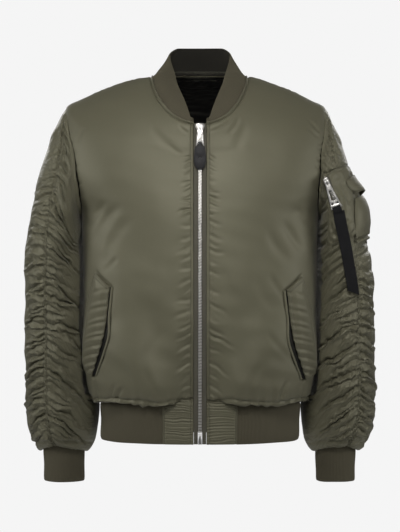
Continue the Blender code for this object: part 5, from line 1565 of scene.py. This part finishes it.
def tree_node(tree, kind, settings=None, inputs=None):
    node = tree.nodes.new(kind)
    for name, value in (settings or {}).items():
        setattr(node, name, value)
    for name, value in (inputs or {}).items():
        if isinstance(value, bpy.types.NodeSocket):
            tree.links.new(value, node.inputs[name])
        else:
            node.inputs[name].default_value = value
    return node


def repeat_tree():
    tree, names = new_tree("copies along a path", {
        "Pitch": "NodeSocketFloat", "Size": "NodeSocketFloat", "Copy": "NodeSocketObject",
        "Finish": "NodeSocketMaterial",
    })
    given = tree_node(tree, "NodeGroupInput").outputs
    lines = tree_node(tree, "GeometryNodeMeshToCurve", inputs={"Mesh": given["Geometry"]})
    points = tree_node(
        tree, "GeometryNodeResampleCurve", {"mode": "LENGTH"},
        {"Curve": lines.outputs["Curve"], "Length": given["Pitch"]},
    )
    ways = [
        tree_node(tree, "GeometryNodeInputNamedAttribute", {"data_type": "FLOAT_VECTOR"}, {"Name": name})
        for name in ("lengthways", "facing")
    ]
    turned = tree_node(
        tree, "FunctionNodeAlignRotationToVector", {"axis": "X"}, {"Vector": ways[0].outputs["Attribute"]}
    )
    tilted = tree_node(
        tree, "FunctionNodeAlignRotationToVector", {"axis": "Z", "pivot_axis": "X"},
        {"Rotation": turned.outputs["Rotation"], "Vector": ways[1].outputs["Attribute"]},
    )
    shape = tree_node(tree, "GeometryNodeObjectInfo", inputs={"Object": given["Copy"], "As Instance": True})
    copies = tree_node(tree, "GeometryNodeInstanceOnPoints", inputs={
        "Points": points.outputs["Curve"], "Instance": shape.outputs["Geometry"],
        "Rotation": tilted.outputs["Rotation"], "Scale": given["Size"],
    })
    real = tree_node(tree, "GeometryNodeRealizeInstances", inputs={"Geometry": copies.outputs["Instances"]})
    finished = tree_node(tree, "GeometryNodeSetMaterial", inputs={
        "Geometry": real.outputs["Geometry"], "Material": given["Finish"],
    })
    tree_node(tree, "NodeGroupOutput", inputs={"Geometry": finished.outputs["Geometry"]})
    return tree, names


COPIES, COPY_INPUTS = repeat_tree()
print("tree inputs:", list(COPY_INPUTS))

# %% Lines that carry directions
def lines_object(name, lines):
    """Open lines, each given as points, which way a copy's length lies and which way the cloth faces."""
    mesh = bpy.data.meshes.new(name)
    points = np.concatenate([line[0] for line in lines])
    starts = np.cumsum([0] + [len(line[0]) for line in lines])
    edges = [(k, k + 1) for first, last in zip(starts[:-1], starts[1:]) for k in range(first, last - 1)]
    mesh.from_pydata(points.tolist(), edges, [])
    for label, column in (("lengthways", 1), ("facing", 2)):
        attribute = mesh.attributes.new(label, "FLOAT_VECTOR", "POINT")
        ways = np.concatenate([np.broadcast_to(line[column], line[0].shape) for line in lines])
        attribute.data.foreach_set("vector", ways.astype(np.float32).ravel())
    return add_object(name, mesh)


def mesh_of(name, shape):
    mesh = bpy.data.meshes.new(name)
    shape.to_mesh(mesh)
    shape.free()
    return mesh


def apply_modifiers(obj, sharp):
    """Makes a plain mesh of what the modifiers give, smooth but for edges sharper than this many degrees."""
    graph = bpy.context.evaluated_depsgraph_get()
    obj.data = bpy.data.meshes.new_from_object(obj.evaluated_get(graph), depsgraph=graph)
    obj.modifiers.clear()
    obj.data.shade_smooth()
    obj.data.set_sharp_from_angle(angle=math.radians(sharp))


def copies_along(name, lines, shape, pitch, finish, size=1.0, body="jacket", stands_for=None):
    obj = lines_object(name, lines)
    modifier = obj.modifiers.new("copies", "NODES")
    modifier.node_group = COPIES
    for label, value in (("Pitch", pitch), ("Size", size), ("Copy", shape), ("Finish", finish)):
        modifier[COPY_INPUTS[label]] = value
    apply_modifiers(obj, 40)
    return settle(obj, body, stands_for)


def along_line(points):
    """Which way a line runs at each of its points."""
    return unit(np.gradient(points, axis=0))


def box_shape(name, size, taper=1.0, bevel=0.0):
    """A small box for copying, narrower at its +X end, that never enters the scene by itself."""
    shape = bmesh.new()
    bmesh.ops.create_cube(shape, size=1.0)
    for vert in shape.verts:
        narrow = taper if vert.co.x > 0 else 1.0
        vert.co = Vector((vert.co.x * size[0], vert.co.y * size[1] * narrow, vert.co.z * size[2] * narrow))
    if bevel:
        bmesh.ops.bevel(shape, geom=shape.edges[:], offset=bevel, segments=1, affect="EDGES")
    return bpy.data.objects.new(name, mesh_of(name, shape))


tooth = box_shape("tooth", (0.0038, 0.0014, 0.0021), taper=0.86, bevel=0.00035)
stitch = box_shape("stitch", (0.0024, 0.0007, 0.0006), bevel=0.0002)
print("faces in a tooth:", len(tooth.data.polygons), "in a stitch:", len(stitch.data.polygons))

# %% [markdown]
# ## The front zip
# A metal zip with two woven tapes. The teeth of the two sides stand half a pitch apart. The slider is up, with its
# plated pull hanging from a small arch and a leather tag below it, and at the foot are the pin and the box.

# %% Where the zip lies
ZIP_TOP, ZIP_END = -0.0955, -0.6532
CHAIN_HALF, TAPE, TAPE_RECESS = 0.0033, 0.0012, 0.0015
SLIDER_LONG, BOX_LONG = 0.0160, 0.0140
LOW_LINE = band_point(np.zeros(8), np.linspace(1, 0.15, 8))
HIGH_LINE = torso_form(np.zeros(60), np.linspace(0.02, 1, 60))
FRONT_LINE = np.concatenate([LOW_LINE, HIGH_LINE])[:, [2, 1]]


def front_y(z):
    return np.interp(z, FRONT_LINE[:, 0], FRONT_LINE[:, 1])


def front_slope(z):
    lean = (front_y(z + 0.01) - front_y(z - 0.01)) / 0.02
    return unit(xyz(0 * lean, -1.0, lean))


def chain_line(first, last, count, lift):
    z = np.linspace(first, last, count)
    out = front_slope(z)
    return xyz(0 * z, front_y(z), z) + out * lift, out


def build_zip_tape(side, word):
    middle, out = chain_line(ZIP_TOP, ZIP_END, 220, -TAPE_RECESS)
    across = spaced(ZIP_HALF - SEAM - CHAIN_HALF - SEAM, 0.0008)
    face = middle[:, None] + xyz(side * (CHAIN_HALF + SEAM + across), 0, 0)[None]
    facing = np.broadcast_to(out[:, None], face.shape)
    sewn(
        f"zip_tape_{word}_weave", face, facing, np.zeros(face.shape[:2]), TAPE, zip_cloth,
        (0.0154, 0.565, 0.0046), stands_for=f"zip_tape_{word}", slot="zip_tape", flat_edges="",
    )


def build_teeth():
    lines = []
    pitch = 0.0026
    for side, start in ((1, 0.0), (-1, pitch / 2)):
        first = ZIP_TOP - SLIDER_LONG - SEAM - start
        middle, out = chain_line(first, ZIP_END + BOX_LONG + 0.0012, 200, -0.0002)
        lines.append((middle + (side * 0.0012, 0, 0), np.array([-side, 0.0, 0.0]), out))
    copies_along("zip_chain_teeth", lines, tooth, pitch, tooth_metal, stands_for="zip_chain")


build_zip_tape(1, "left")
build_zip_tape(-1, "right")
build_teeth()

# %% Plates of metal and leather
def on_cloth(point, down, out):
    """A placing whose X runs across, Y up and Z out of the cloth."""
    out = unit(np.array(out, float))
    up = -np.array(down, float)
    up = unit(up - out * np.dot(up, out))
    across = np.cross(up, out)
    return Matrix([(across[k], up[k], out[k], point[k]) for k in range(3)] + [(0, 0, 0, 1)])


def both_ways(half_outline):
    """A closed outline from its right half, listed from the top down."""
    return [*half_outline, *[(-x, y) for x, y in reversed(half_outline)]]


def arc_ring(x, y, radius, sides=14):
    turns = [2 * math.pi * k / sides for k in range(sides)]
    return [(x + radius * math.cos(turn), y + radius * math.sin(turn)) for turn in turns]


def rounded(outline, times=2):
    """An outline with its corners cut again and again, which rounds them."""
    for _ in range(times):
        ring = zip(outline, outline[1:] + outline[:1])
        outline = [(a[0] + (b[0] - a[0]) * share, a[1] + (b[1] - a[1]) * share)
                   for a, b in ring for share in (0.16, 0.84)]
    return outline


def plate(shape, outline, holes, low, high, plane="XY"):
    """Adds a flat plate with holes to a shape, from one height to another above its plane."""
    edges = []
    for ring in [outline, *holes]:
        corners = [shape.verts.new((a, b, low) if plane == "XY" else (low, a, b)) for a, b in ring]
        edges += [shape.edges.new((a, b)) for a, b in zip(corners, corners[1:] + corners[:1])]
    filled = bmesh.ops.triangle_fill(shape, edges=edges, use_beauty=True)
    faces = [face for face in filled["geom"] if isinstance(face, bmesh.types.BMFace)]
    raised = bmesh.ops.extrude_face_region(shape, geom=faces)
    step = (0, 0, high - low) if plane == "XY" else (high - low, 0, 0)
    moved = [vert for vert in raised["geom"] if isinstance(vert, bmesh.types.BMVert)]
    bmesh.ops.translate(shape, verts=moved, vec=step)


def hard_piece(name, plates, world, finish, bevel, body="jacket", stands_for=None):
    """Puts flat plates together in their place, and rounds their edges with a live bevel that is then applied."""
    shape = bmesh.new()
    for flat in plates:
        plate(shape, *flat)
    bmesh.ops.recalc_face_normals(shape, faces=shape.faces)
    obj = add_object(name, mesh_of(name, shape))
    obj.data.transform(world)
    modifier = obj.modifiers.new("rounded edges", "BEVEL")
    modifier.width, modifier.segments, modifier.angle_limit = bevel, 2, math.radians(35)
    apply_modifiers(obj, 32)
    obj.data.materials.append(finish)
    return settle(obj, body, stands_for)


# %% Slider, pull, tag and box
PULL = SimpleNamespace(
    thick=0.0016, eye_half=0.0045, waist_half=0.0054, foot_half=0.0076, waist=0.0100, long=0.0330,
    arch_half=0.0046, arch=0.0070,
)
TAG = SimpleNamespace(
    thick=0.0022, neck_half=0.0038, top=0.0268, shoulder=0.0345, shoulder_half=0.0086,
    wide=0.0580, wide_half=0.0112, long=0.0735, end_half=0.0052,
)
BRIDGE = SimpleNamespace(half=0.0011, long=0.0092, high=0.0052, bore=0.0040, floor=0.0010, roof=0.0042)
PULL_WINDOW = [(0.0019, -0.0010), (0.0019, -0.0068), (-0.0019, -0.0068), (-0.0019, -0.0010)]


def add_slider(name, face, down, out, half_outline, deep, bevel):
    """A slider with the small arch on it, and the place in the arch where the pull's bar turns."""
    world = on_cloth(face, down, out)
    half = BRIDGE.long / 2
    arch = [(-half, -0.001), (-half, BRIDGE.high * 0.7), (-half * 0.6, BRIDGE.high),
            (half * 0.6, BRIDGE.high), (half, BRIDGE.high * 0.7), (half, -0.001)]
    hole = [(-BRIDGE.bore / 2, BRIDGE.floor), (-BRIDGE.bore / 2, BRIDGE.roof),
            (BRIDGE.bore / 2, BRIDGE.roof), (BRIDGE.bore / 2, BRIDGE.floor)]
    plates = [(both_ways(half_outline), [], -deep, 0.0), (arch, [hole], -BRIDGE.half, BRIDGE.half, "YZ")]
    hard_piece(f"{name}_body", plates, world, bright_metal, bevel, stands_for=name)
    return face + unit(np.array(out)) * ((BRIDGE.floor + BRIDGE.roof) / 2)


SLIDER_DROP = 0.0010  # brings the bridge's bore onto the axis that the pull turns on


def build_slider():
    z = ZIP_TOP - SLIDER_LONG / 2 - SLIDER_DROP
    out = front_slope(np.array(z))
    down = np.cross(out, (1, 0, 0))
    down = down if down[2] < 0 else -down
    face = np.array([0, float(front_y(z)), z]) + out * 0.0042
    half = SLIDER_LONG / 2
    outline = [(0.0066, half), (0.0087, half * 0.55), (0.0078, half * 0.1), (0.0058, -half * 0.45), (0.0056, -half)]
    pin = add_slider("zip_slider", face, down, out, outline, 0.0040, 0.00045)
    foot_z = pin[2] - TAG.long
    foot = np.array([0, float(front_y(foot_z)) - 0.0040, foot_z])
    lie = unit(foot - pin)
    forward = np.cross(lie, (1, 0, 0))
    hang = on_cloth(pin, lie, forward if forward[1] < 0 else -forward)
    build_pull(hang)
    build_tag(hang)


def build_pull(hang):
    edge = both_ways([
        (PULL.eye_half - 0.0008, 0.0012), (PULL.eye_half, 0.0004), (PULL.waist_half, -PULL.waist),
        (PULL.foot_half, -PULL.long), (PULL.foot_half - 0.0016, -PULL.long - 0.0004),
        (PULL.arch_half, -PULL.long + 0.0024), (PULL.arch_half * 0.80, -PULL.long + PULL.arch * 0.75),
        (PULL.arch_half * 0.35, -PULL.long + PULL.arch),
    ])
    plates = [(edge, [PULL_WINDOW], -PULL.thick / 2, PULL.thick / 2)]
    hard_piece("zip_pull_plate", plates, hang, bright_metal, 0.0004, "front_pull", "zip_pull")


def build_tag(hang):
    outline = both_ways([
        (TAG.neck_half * 0.5, -TAG.top - 0.0010), (TAG.neck_half * 0.9, -TAG.top - 0.0045),
        (TAG.neck_half, -TAG.shoulder + 0.0006), (TAG.shoulder_half, -TAG.shoulder),
        (TAG.wide_half - 0.0012, -TAG.wide + 0.0110), (TAG.wide_half, -TAG.wide),
        (TAG.wide_half - 0.0022, -TAG.wide - 0.0085), (TAG.end_half, -TAG.long),
    ])
    plates = [(rounded(outline), [arc_ring(0, -0.0535, 0.0010)], -TAG.thick / 2, TAG.thick / 2)]
    hard_piece("zip_tag_leather", plates, hang, leather, 0.0005, "front_pull", "zip_tag")


def build_box():
    z = ZIP_END + BOX_LONG / 2
    out = front_slope(np.array(z))
    world = on_cloth(np.array([0, float(front_y(z)), z]) + out * 0.0006, (0, 0, -1.0), out)
    half = BOX_LONG / 2
    rods = both_ways([
        (0.0006, half), (0.0020, half), (0.0026, half * 0.4), (0.0030, -half * 0.3), (0.0030, -half * 0.9),
        (0.0026, -half), (0.0008, -half), (0.0006, -half * 0.9),
    ])
    hard_piece("zip_box_metal", [(rods, [], -0.0030, 0.0010)], world, bright_metal, 0.00045, stands_for="zip_box")


build_slider()
build_box()

# %% [markdown]
# ## The left sleeve's pocket
# A flat patch of the face fabric with a short zip set on the slant, and behind it a small gathered pocket for pens
# under a shaped flap. They lie on the upper arm, so each is placed by finding where on the arm a spot seen from the
# front lies. A ladder-shaped pull hangs from the zip with a black woven ribbon looped through its foot.

# %% Places on the left sleeve
ON_SLEEVE_COLUMNS = ("first_deg", "first_z", "last_deg", "last_z", "bulge")
SLEEVE_PATCH = (
    (82, -90.5, -22, -203, 0),
    (100, -126.7, -22, -232, 0),
    (115, -191.6, -22, -270, 0),
    (124, -263.6, -22, -312, 0),
)
PEN_POCKET = (
    (42, -209, -16, -226, 4.5),
    (51, -220, -20, -237, 8),
    (57, -236, -22, -252, 10),
    (60, -258, -22, -269, 9),
    (61, -277, -22, -285, 4.5),
    (61, -292, -20, -298, 1.5),
)
PEN_FLAP = (
    (48, -160, -8, -190, 2),
    (50, -170, -12, -199, 4),
    (46, -187, -14, -210, 8.5),
    (37, -202, -14, -220, 12),
)
PATCH_LIFT, PATCH_CLOTH = 0.0026, 0.0014
ON_PATCH = PATCH_LIFT + PATCH_CLOTH + 0.0008
SLEEVE_ZIP = SimpleNamespace(top_x=0.2222, top_z=-0.1880, end_x=0.2590, end_z=-0.3080, half=0.0055)
patch, pen_pocket, pen_flap = (
    Sections(ON_SLEEVE_COLUMNS, table, lambda row: (row.last_z,))
    for table in (SLEEVE_PATCH, PEN_POCKET, PEN_FLAP)
)


def sleeve_normal(psi, station):
    around = sleeve_form(1, psi + 2, station) - sleeve_form(1, psi - 2, station)
    along = sleeve_form(1, psi, station + 0.01) - sleeve_form(1, psi, np.maximum(station - 0.01, 0.001))
    return unit(np.cross(around, along))


def on_sleeve(psi, station, lift):
    normal = sleeve_normal(psi, station)
    return sleeve_form(1, psi, station) + normal * np.asarray(lift)[..., None], normal


def sleeve_spot(x, z):
    """The angle and station of the left sleeve's front that lie at this place, seen from the front."""
    low, high = np.array([5.0, 0.02]), np.array([150.0, 0.80])
    for _ in range(7):
        psi, station = np.meshgrid(*[np.linspace(low[k], high[k], 15) for k in (0, 1)])
        found = sleeve_form(1, psi, station)
        best = np.unravel_index(np.argmin(np.hypot(found[..., 0] - x, found[..., 2] - z)), psi.shape)
        middle, spread = np.array([psi[best], station[best]]), (high - low) / 6
        low, high = np.maximum(middle - spread, (-90, 0)), middle + spread
    return middle


def sleeve_spots(xs, zs):
    return np.array([sleeve_spot(x, z) for x, z in zip(xs, zs)]).T


def outer_station(z):
    return sleeve.where("outer_z", z, 0.0, sleeve.station("roll out"))


# %% The patch and the pen pocket
def on_arm(table, lift, size, step):
    """The face of a piece on the arm, puffed up along its middle, and how far each point is from the edges."""
    stations = shares_down(size[1], step, first=0.0006, last=0.0006, margin=0.004)
    shares = shares_across(size[0], step, first=0.0006, last=0.0006, margin=0.004)
    row = table.at(stations)
    first, last = outer_station(row.first_z), outer_station(row.last_z)
    psi = row.first_deg + (row.last_deg - row.first_deg) * shares
    swell = row.bulge * np.sin(math.pi * shares) ** 0.7
    face, out = on_sleeve(psi, first + (last - first) * shares, lift + swell)
    u, v = across_and_along(face)
    return face, normals_of(face, out), u, v, np.minimum(u, u[:, -1:] - u), v[-1:] - v


def build_patch():
    face, out, u, v, sides, low = on_arm(patch, PATCH_LIFT + PATCH_CLOTH, (0.160, 0.150), 0.0020)
    edge = np.minimum(np.minimum(sides, v), low)
    wall = free_edge(edge, PATCH_CLOTH)
    free = smoothstep(0.003, 0.010, edge)
    height = 0.0008 * free - (PATCH_CLOTH - wall) / 2 - 0.0032 * (1 - smoothstep(0, 0.014, low))
    height += (swells(face, 0.030, 81) * 0.0007 + swells(face, 0.012, 82) * 0.0003) * free
    height += single_folds(face[..., 0], face[..., 2], PATCH_FOLDS) * free
    height -= 0.0006 * bell(np.minimum(sides, v), 0.0022, 0.0008)
    sewn(
        "sleeve_pocket_cloth", face, out, height, wall, nylon, (0.17, 0.16, 0.0245),
        stands_for="sleeve_pocket", flat_edges="",
    )


def build_on_patch(name, table, size, relief, cut, held):
    """The pen pocket or its flap."""
    face, out, u, v, sides, low = on_arm(table, ON_PATCH + PATCH_CLOTH, size, 0.0017)
    edge = np.minimum(np.minimum(sides, v), low)
    wall = free_edge(edge, PATCH_CLOTH)
    height = 0.0004 * smoothstep(0.003, 0.008, edge) - (PATCH_CLOTH - wall) / 2 - relief(u, low, edge)
    sewn(f"{name}_cloth", face, out, height, wall, nylon, cut, stands_for=name, held=held, flat_edges="")


def flap_stitched(u, low, edge):
    return 0.0006 * bell(edge, 0.0024, 0.0008)


def pen_gathers(u, low, edge):
    """The elastic at the pen pocket's foot draws it into upright crinkles, with a dark slit above them."""
    turn = 2 * math.pi * u / 0.0052
    crinkle = 0.0017 * (0.5 + 0.5 * np.sin(turn + 1.7 * np.sin(turn / 3.1))) * (1 - smoothstep(0.004, 0.026, low))
    slit = 0.0044 * bell(low, 0.006, 0.0018)
    return (crinkle + slit) * smoothstep(0.001, 0.004, edge)


build_patch()
build_on_patch("pen_pocket", pen_pocket, (0.105, 0.080), pen_gathers, (0.13, 0.09, 0.0092), "gathered")
build_on_patch("pen_flap", pen_flap, (0.085, 0.042), flap_stitched, (0.10, 0.045, 0.0036), "draped")

# %% The sleeve's zip
def build_sleeve_zip():
    line = SLEEVE_ZIP
    coarse = np.linspace(0, 1, 7)
    x, z = (line.top_x + (line.end_x - line.top_x) * coarse, line.top_z + (line.end_z - line.top_z) * coarse)
    shares = np.linspace(0, 1, 80)
    psi, station = (np.interp(shares, coarse, values) for values in sleeve_spots(x, z))
    middle, out = on_sleeve(psi, station, ON_PATCH + TAPE + 0 * psi)
    along = np.array([line.end_x - line.top_x, 0, line.end_z - line.top_z])
    across = unit(np.cross(along, out))
    wide = np.linspace(-line.half, line.half, 13)
    face = middle[:, None] + across[:, None] * wide[None, :, None]
    facing = np.broadcast_to(out[:, None], face.shape)
    ridge = 0 * face[..., 0] - 0.0004 * bell(wide, 0, 0.0020)[None]
    sewn(
        "sleeve_zip_weave", face, facing, ridge, TAPE, zip_cloth, (2 * line.half, 0.126, None),
        stands_for="sleeve_zip", slot="zip_tape", flat_edges="",
    )
    lines = []
    for way, start in ((1, 0), (-1, 1)):
        points = middle[start:] + across[start:] * way * 0.0008 + out[start:] * 0.0004
        lines.append((points, -across[start:] * way, out[start:]))
    copies_along("sleeve_zip_teeth", lines, tooth, 0.0019, tooth_metal, size=0.62)


build_sleeve_zip()

# %% The ladder pull and its ribbon
LADDER = SimpleNamespace(thick=0.0016, eye_half=0.0045, top_half=0.0046, foot_half=0.0106, long=0.0500)
RIBBON = SimpleNamespace(half=0.0104, thick=0.0015, lift=0.0112, end_lift=0.0068, slant=0.0130)
RIBBON_LINE = ((240.5, -247.5), (248, -279), (255.5, -315), (262.5, -352), (270, -396.5))
ribbon_line = Sections(("x", "z"), RIBBON_LINE, lambda row: (row.x, row.z))
SLEEVE_PULL = SimpleNamespace(top=(0.2236, -0.1965), foot=(0.2385, -0.2430), slider_height=0.0041)


def build_sleeve_pull():
    base = PATCH_LIFT + PATCH_CLOTH + TAPE + 0.0012
    spots = [sleeve_spot(*place) for place in (SLEEVE_PULL.top, SLEEVE_PULL.foot)]
    (top, out_top), (foot, out_foot) = (on_sleeve(psi, station, base) for psi, station in spots)
    out, down = unit(out_top + out_foot), unit(foot - top)
    outline = [(0.0034, 0.0062), (0.0046, 0.0040), (0.0036, -0.0020), (0.0034, -0.0060)]
    face = top + out * SLEEVE_PULL.slider_height
    pin = add_slider("sleeve_zip_slider", face, down, out, outline, 0.0030, 0.00035)
    hang = on_cloth(pin, down, out)
    build_ladder(hang)
    build_ribbon(hang)


def build_ladder(hang):
    long = LADDER.long
    edge = both_ways([
        (LADDER.eye_half - 0.0008, 0.0012), (LADDER.eye_half, 0.0004), (LADDER.top_half, -0.0080),
        (LADDER.foot_half - 0.0012, -long * 0.90), (LADDER.foot_half, -long + 0.0008), (LADDER.foot_half, -long),
    ])
    windows = [
        PULL_WINDOW,
        both_ways([(0.0022, -long * 0.34), (0.0044, -long * 0.71)]),
        both_ways([(LADDER.foot_half - 0.0030, -long * 0.925), (LADDER.foot_half - 0.0026, -long * 0.965)]),
        arc_ring(0.0050, -long * 0.820, 0.0018, 10),
        arc_ring(-0.0050, -long * 0.820, 0.0018, 10),
    ]
    plates = [(edge, windows, -LADDER.thick / 2, LADDER.thick / 2)]
    hard_piece("sleeve_pull_plate", plates, hang, bright_metal, 0.0003, "arm_pull", "sleeve_pull")


def build_ribbon(hang):
    """The ribbon lies down the arm below the pull, and a turn of it goes round the pull's last bar."""
    shares = spaced(0.151, 0.0016, first=0.0005, last=0.0005, margin=0.003) / 0.151
    coarse = np.linspace(0, 1, 9)
    row, ahead, behind = (ribbon_line.at(np.clip(coarse + step, 0, 1)) for step in (0, 0.02, -0.02))
    psi, station = sleeve_spots(row.x, row.z)
    lift = RIBBON.lift + (RIBBON.end_lift - RIBBON.lift) * coarse
    middle, normal = on_sleeve(psi, station, lift)
    across = unit(np.cross(xyz(ahead.x - behind.x, 0, ahead.z - behind.z), normal))
    middle, normal, across = (
        np.stack([np.interp(shares, coarse, values[:, k]) for k in range(3)], axis=-1)
        for values in (middle, normal, across)
    )
    wide = np.linspace(-1, 1, 15)
    face = middle[:, None] + unit(across)[:, None] * (RIBBON.half * wide)[None, :, None]
    slant = RIBBON.slant * (1 + wide) / 2
    face[-16:] -= along_line(middle)[-16:, None] * slant[None, :, None] * np.linspace(0, 1, 16)[:, None, None]
    facing = np.broadcast_to(unit(normal)[:, None], face.shape)
    height = 0.0003 * np.cos(wide * math.pi)[None] + 0.0005 * np.sin(shares * 17)[:, None]
    sewn(
        "sleeve_ribbon_weave", face, facing, height, RIBBON.thick, ribbon_cloth,
        (2 * RIBBON.half, 0.153, None), body="arm_pull", stands_for="sleeve_ribbon", slot="ribbon", held="hung",
        rests_on=["sleeve_pocket_cloth"], flat_edges="",
    )

    long = LADDER.long
    turn = np.array([(-long - 0.0035, -0.0010), (-long, -0.0016), (-long * 0.962, -0.0014), (-long * 0.945, 0.0),
                     (-long * 0.955, 0.0014), (-long, 0.0021), (-long - 0.0045, 0.0016), (-long - 0.0080, 0.0004)])
    smooth = np.linspace(0, len(turn) - 1, 40)
    path = np.stack([np.interp(smooth, range(len(turn)), turn[:, k]) for k in (0, 1)], axis=-1)
    facing_path = unit(np.stack([-np.gradient(path[:, 1]), np.gradient(path[:, 0])], axis=-1))
    wide = np.linspace(-1, 1, 9) * (RIBBON.half - 0.0030)
    local = xyz(wide[None], path[:, :1], path[:, 1:])
    local_out = xyz(0 * wide[None], -facing_path[:, :1], -facing_path[:, 1:])
    turned = np.array(hang.to_3x3())
    face = local @ turned.T + np.array(hang.translation)
    sewn(
        "sleeve_ribbon_turn", face, local_out @ turned.T, np.zeros(face.shape[:2]) + 0.0004, 0.0008,
        ribbon_cloth, (0.0148, 0.016, None), body="arm_pull", slot="ribbon", held="folded",
        flat_edges="",
    )


build_sleeve_pull()

# %% [markdown]
# ## Stitching
# Every visible row of stitches follows a seam or an edge at a fixed distance, so each is read off the finished face
# of its piece. The gathered seam and the flaps have two rows, the rest have one.

# %% Rows of stitches
def row_beside(name, away, edge):
    """The line on a piece's finished face that runs at a distance from its left, right, top or bottom edge."""
    skin = skins[name]
    points, out, u, v = skin.points, skin.out, skin.u, skin.v
    if edge in "tb":
        points, out, u = (np.swapaxes(grid, 0, 1) for grid in (points, out, v))
    first = edge == "t" or (edge in "lr" and (edge == "l") != skin.turned)
    inward = u if first else u[:, -1:] - u
    line, facing = [], []
    for k in range(len(points)):
        order = np.argsort(inward[k])
        line.append([np.interp(away, inward[k][order], points[k, order, axis]) for axis in range(3)])
        facing.append([np.interp(away, inward[k][order], out[k, order, axis]) for axis in range(3)])
    line, facing = np.array(line), unit(np.array(facing))
    run = np.concatenate([[0], np.cumsum(np.linalg.norm(np.diff(line, axis=0), axis=1))])
    keep = (run > away) & (run < run[-1] - away)
    line, facing = line[keep], facing[keep]
    return line, along_line(line), facing


STITCH_PITCH = 0.0034
SEWING = (
    ("sleeve_{}_front_cloth", "l", 0.0030), ("sleeve_{}_back_cloth", "r", 0.0030),
    ("front_{}_cloth", "l", 0.0050), ("hem_tab_{}_cloth", "l", 0.0050), ("hem_tab_{}_cloth", "r", 0.0024),
    ("pocket_flap_{}_cloth", "l", 0.0022), ("pocket_flap_{}_cloth", "l", 0.0062),
    ("pocket_flap_{}_cloth", "t", 0.0022), ("pocket_flap_{}_cloth", "t", 0.0062),
    ("pocket_flap_{}_cloth", "b", 0.0022), ("pocket_flap_{}_cloth", "r", 0.0022),
)
POCKET_SEWING = tuple(("sleeve_pocket_cloth", edge, 0.0022) for edge in "lrtb") \
    + tuple(("pen_flap_cloth", edge, 0.0024) for edge in "lrb")

for word in ("left", "right"):
    rows = [row_beside(name.format(word), away, edge) for name, edge, away in SEWING]
    copies_along(f"stitching_{word}", rows, stitch, STITCH_PITCH, thread)
rows = [row_beside(name, away, edge) for name, edge, away in POCKET_SEWING]
copies_along("stitching_pocket", rows, stitch, STITCH_PITCH, thread)

# %% Floor
floor_shape = bmesh.new()
bmesh.ops.create_circle(floor_shape, cap_ends=True, segments=96, radius=FLOOR_RADIUS)
floor = add_object("floor", mesh_of("floor", floor_shape))
floor.location = (0, 0, JACKET_FOOT - FLOOR_DROP)
floor_finish = Finish("pale floor", Roughness=0.9)
patches = floor_finish.noise(floor_finish.place(), 0.4)
floor_finish.set("Base Color", floor_finish.mix(patches, (0.80,) * 3, (0.84,) * 3))
floor.data.materials.append(floor_finish.material)

print("triangles in all:", sum(count for _, count in made))
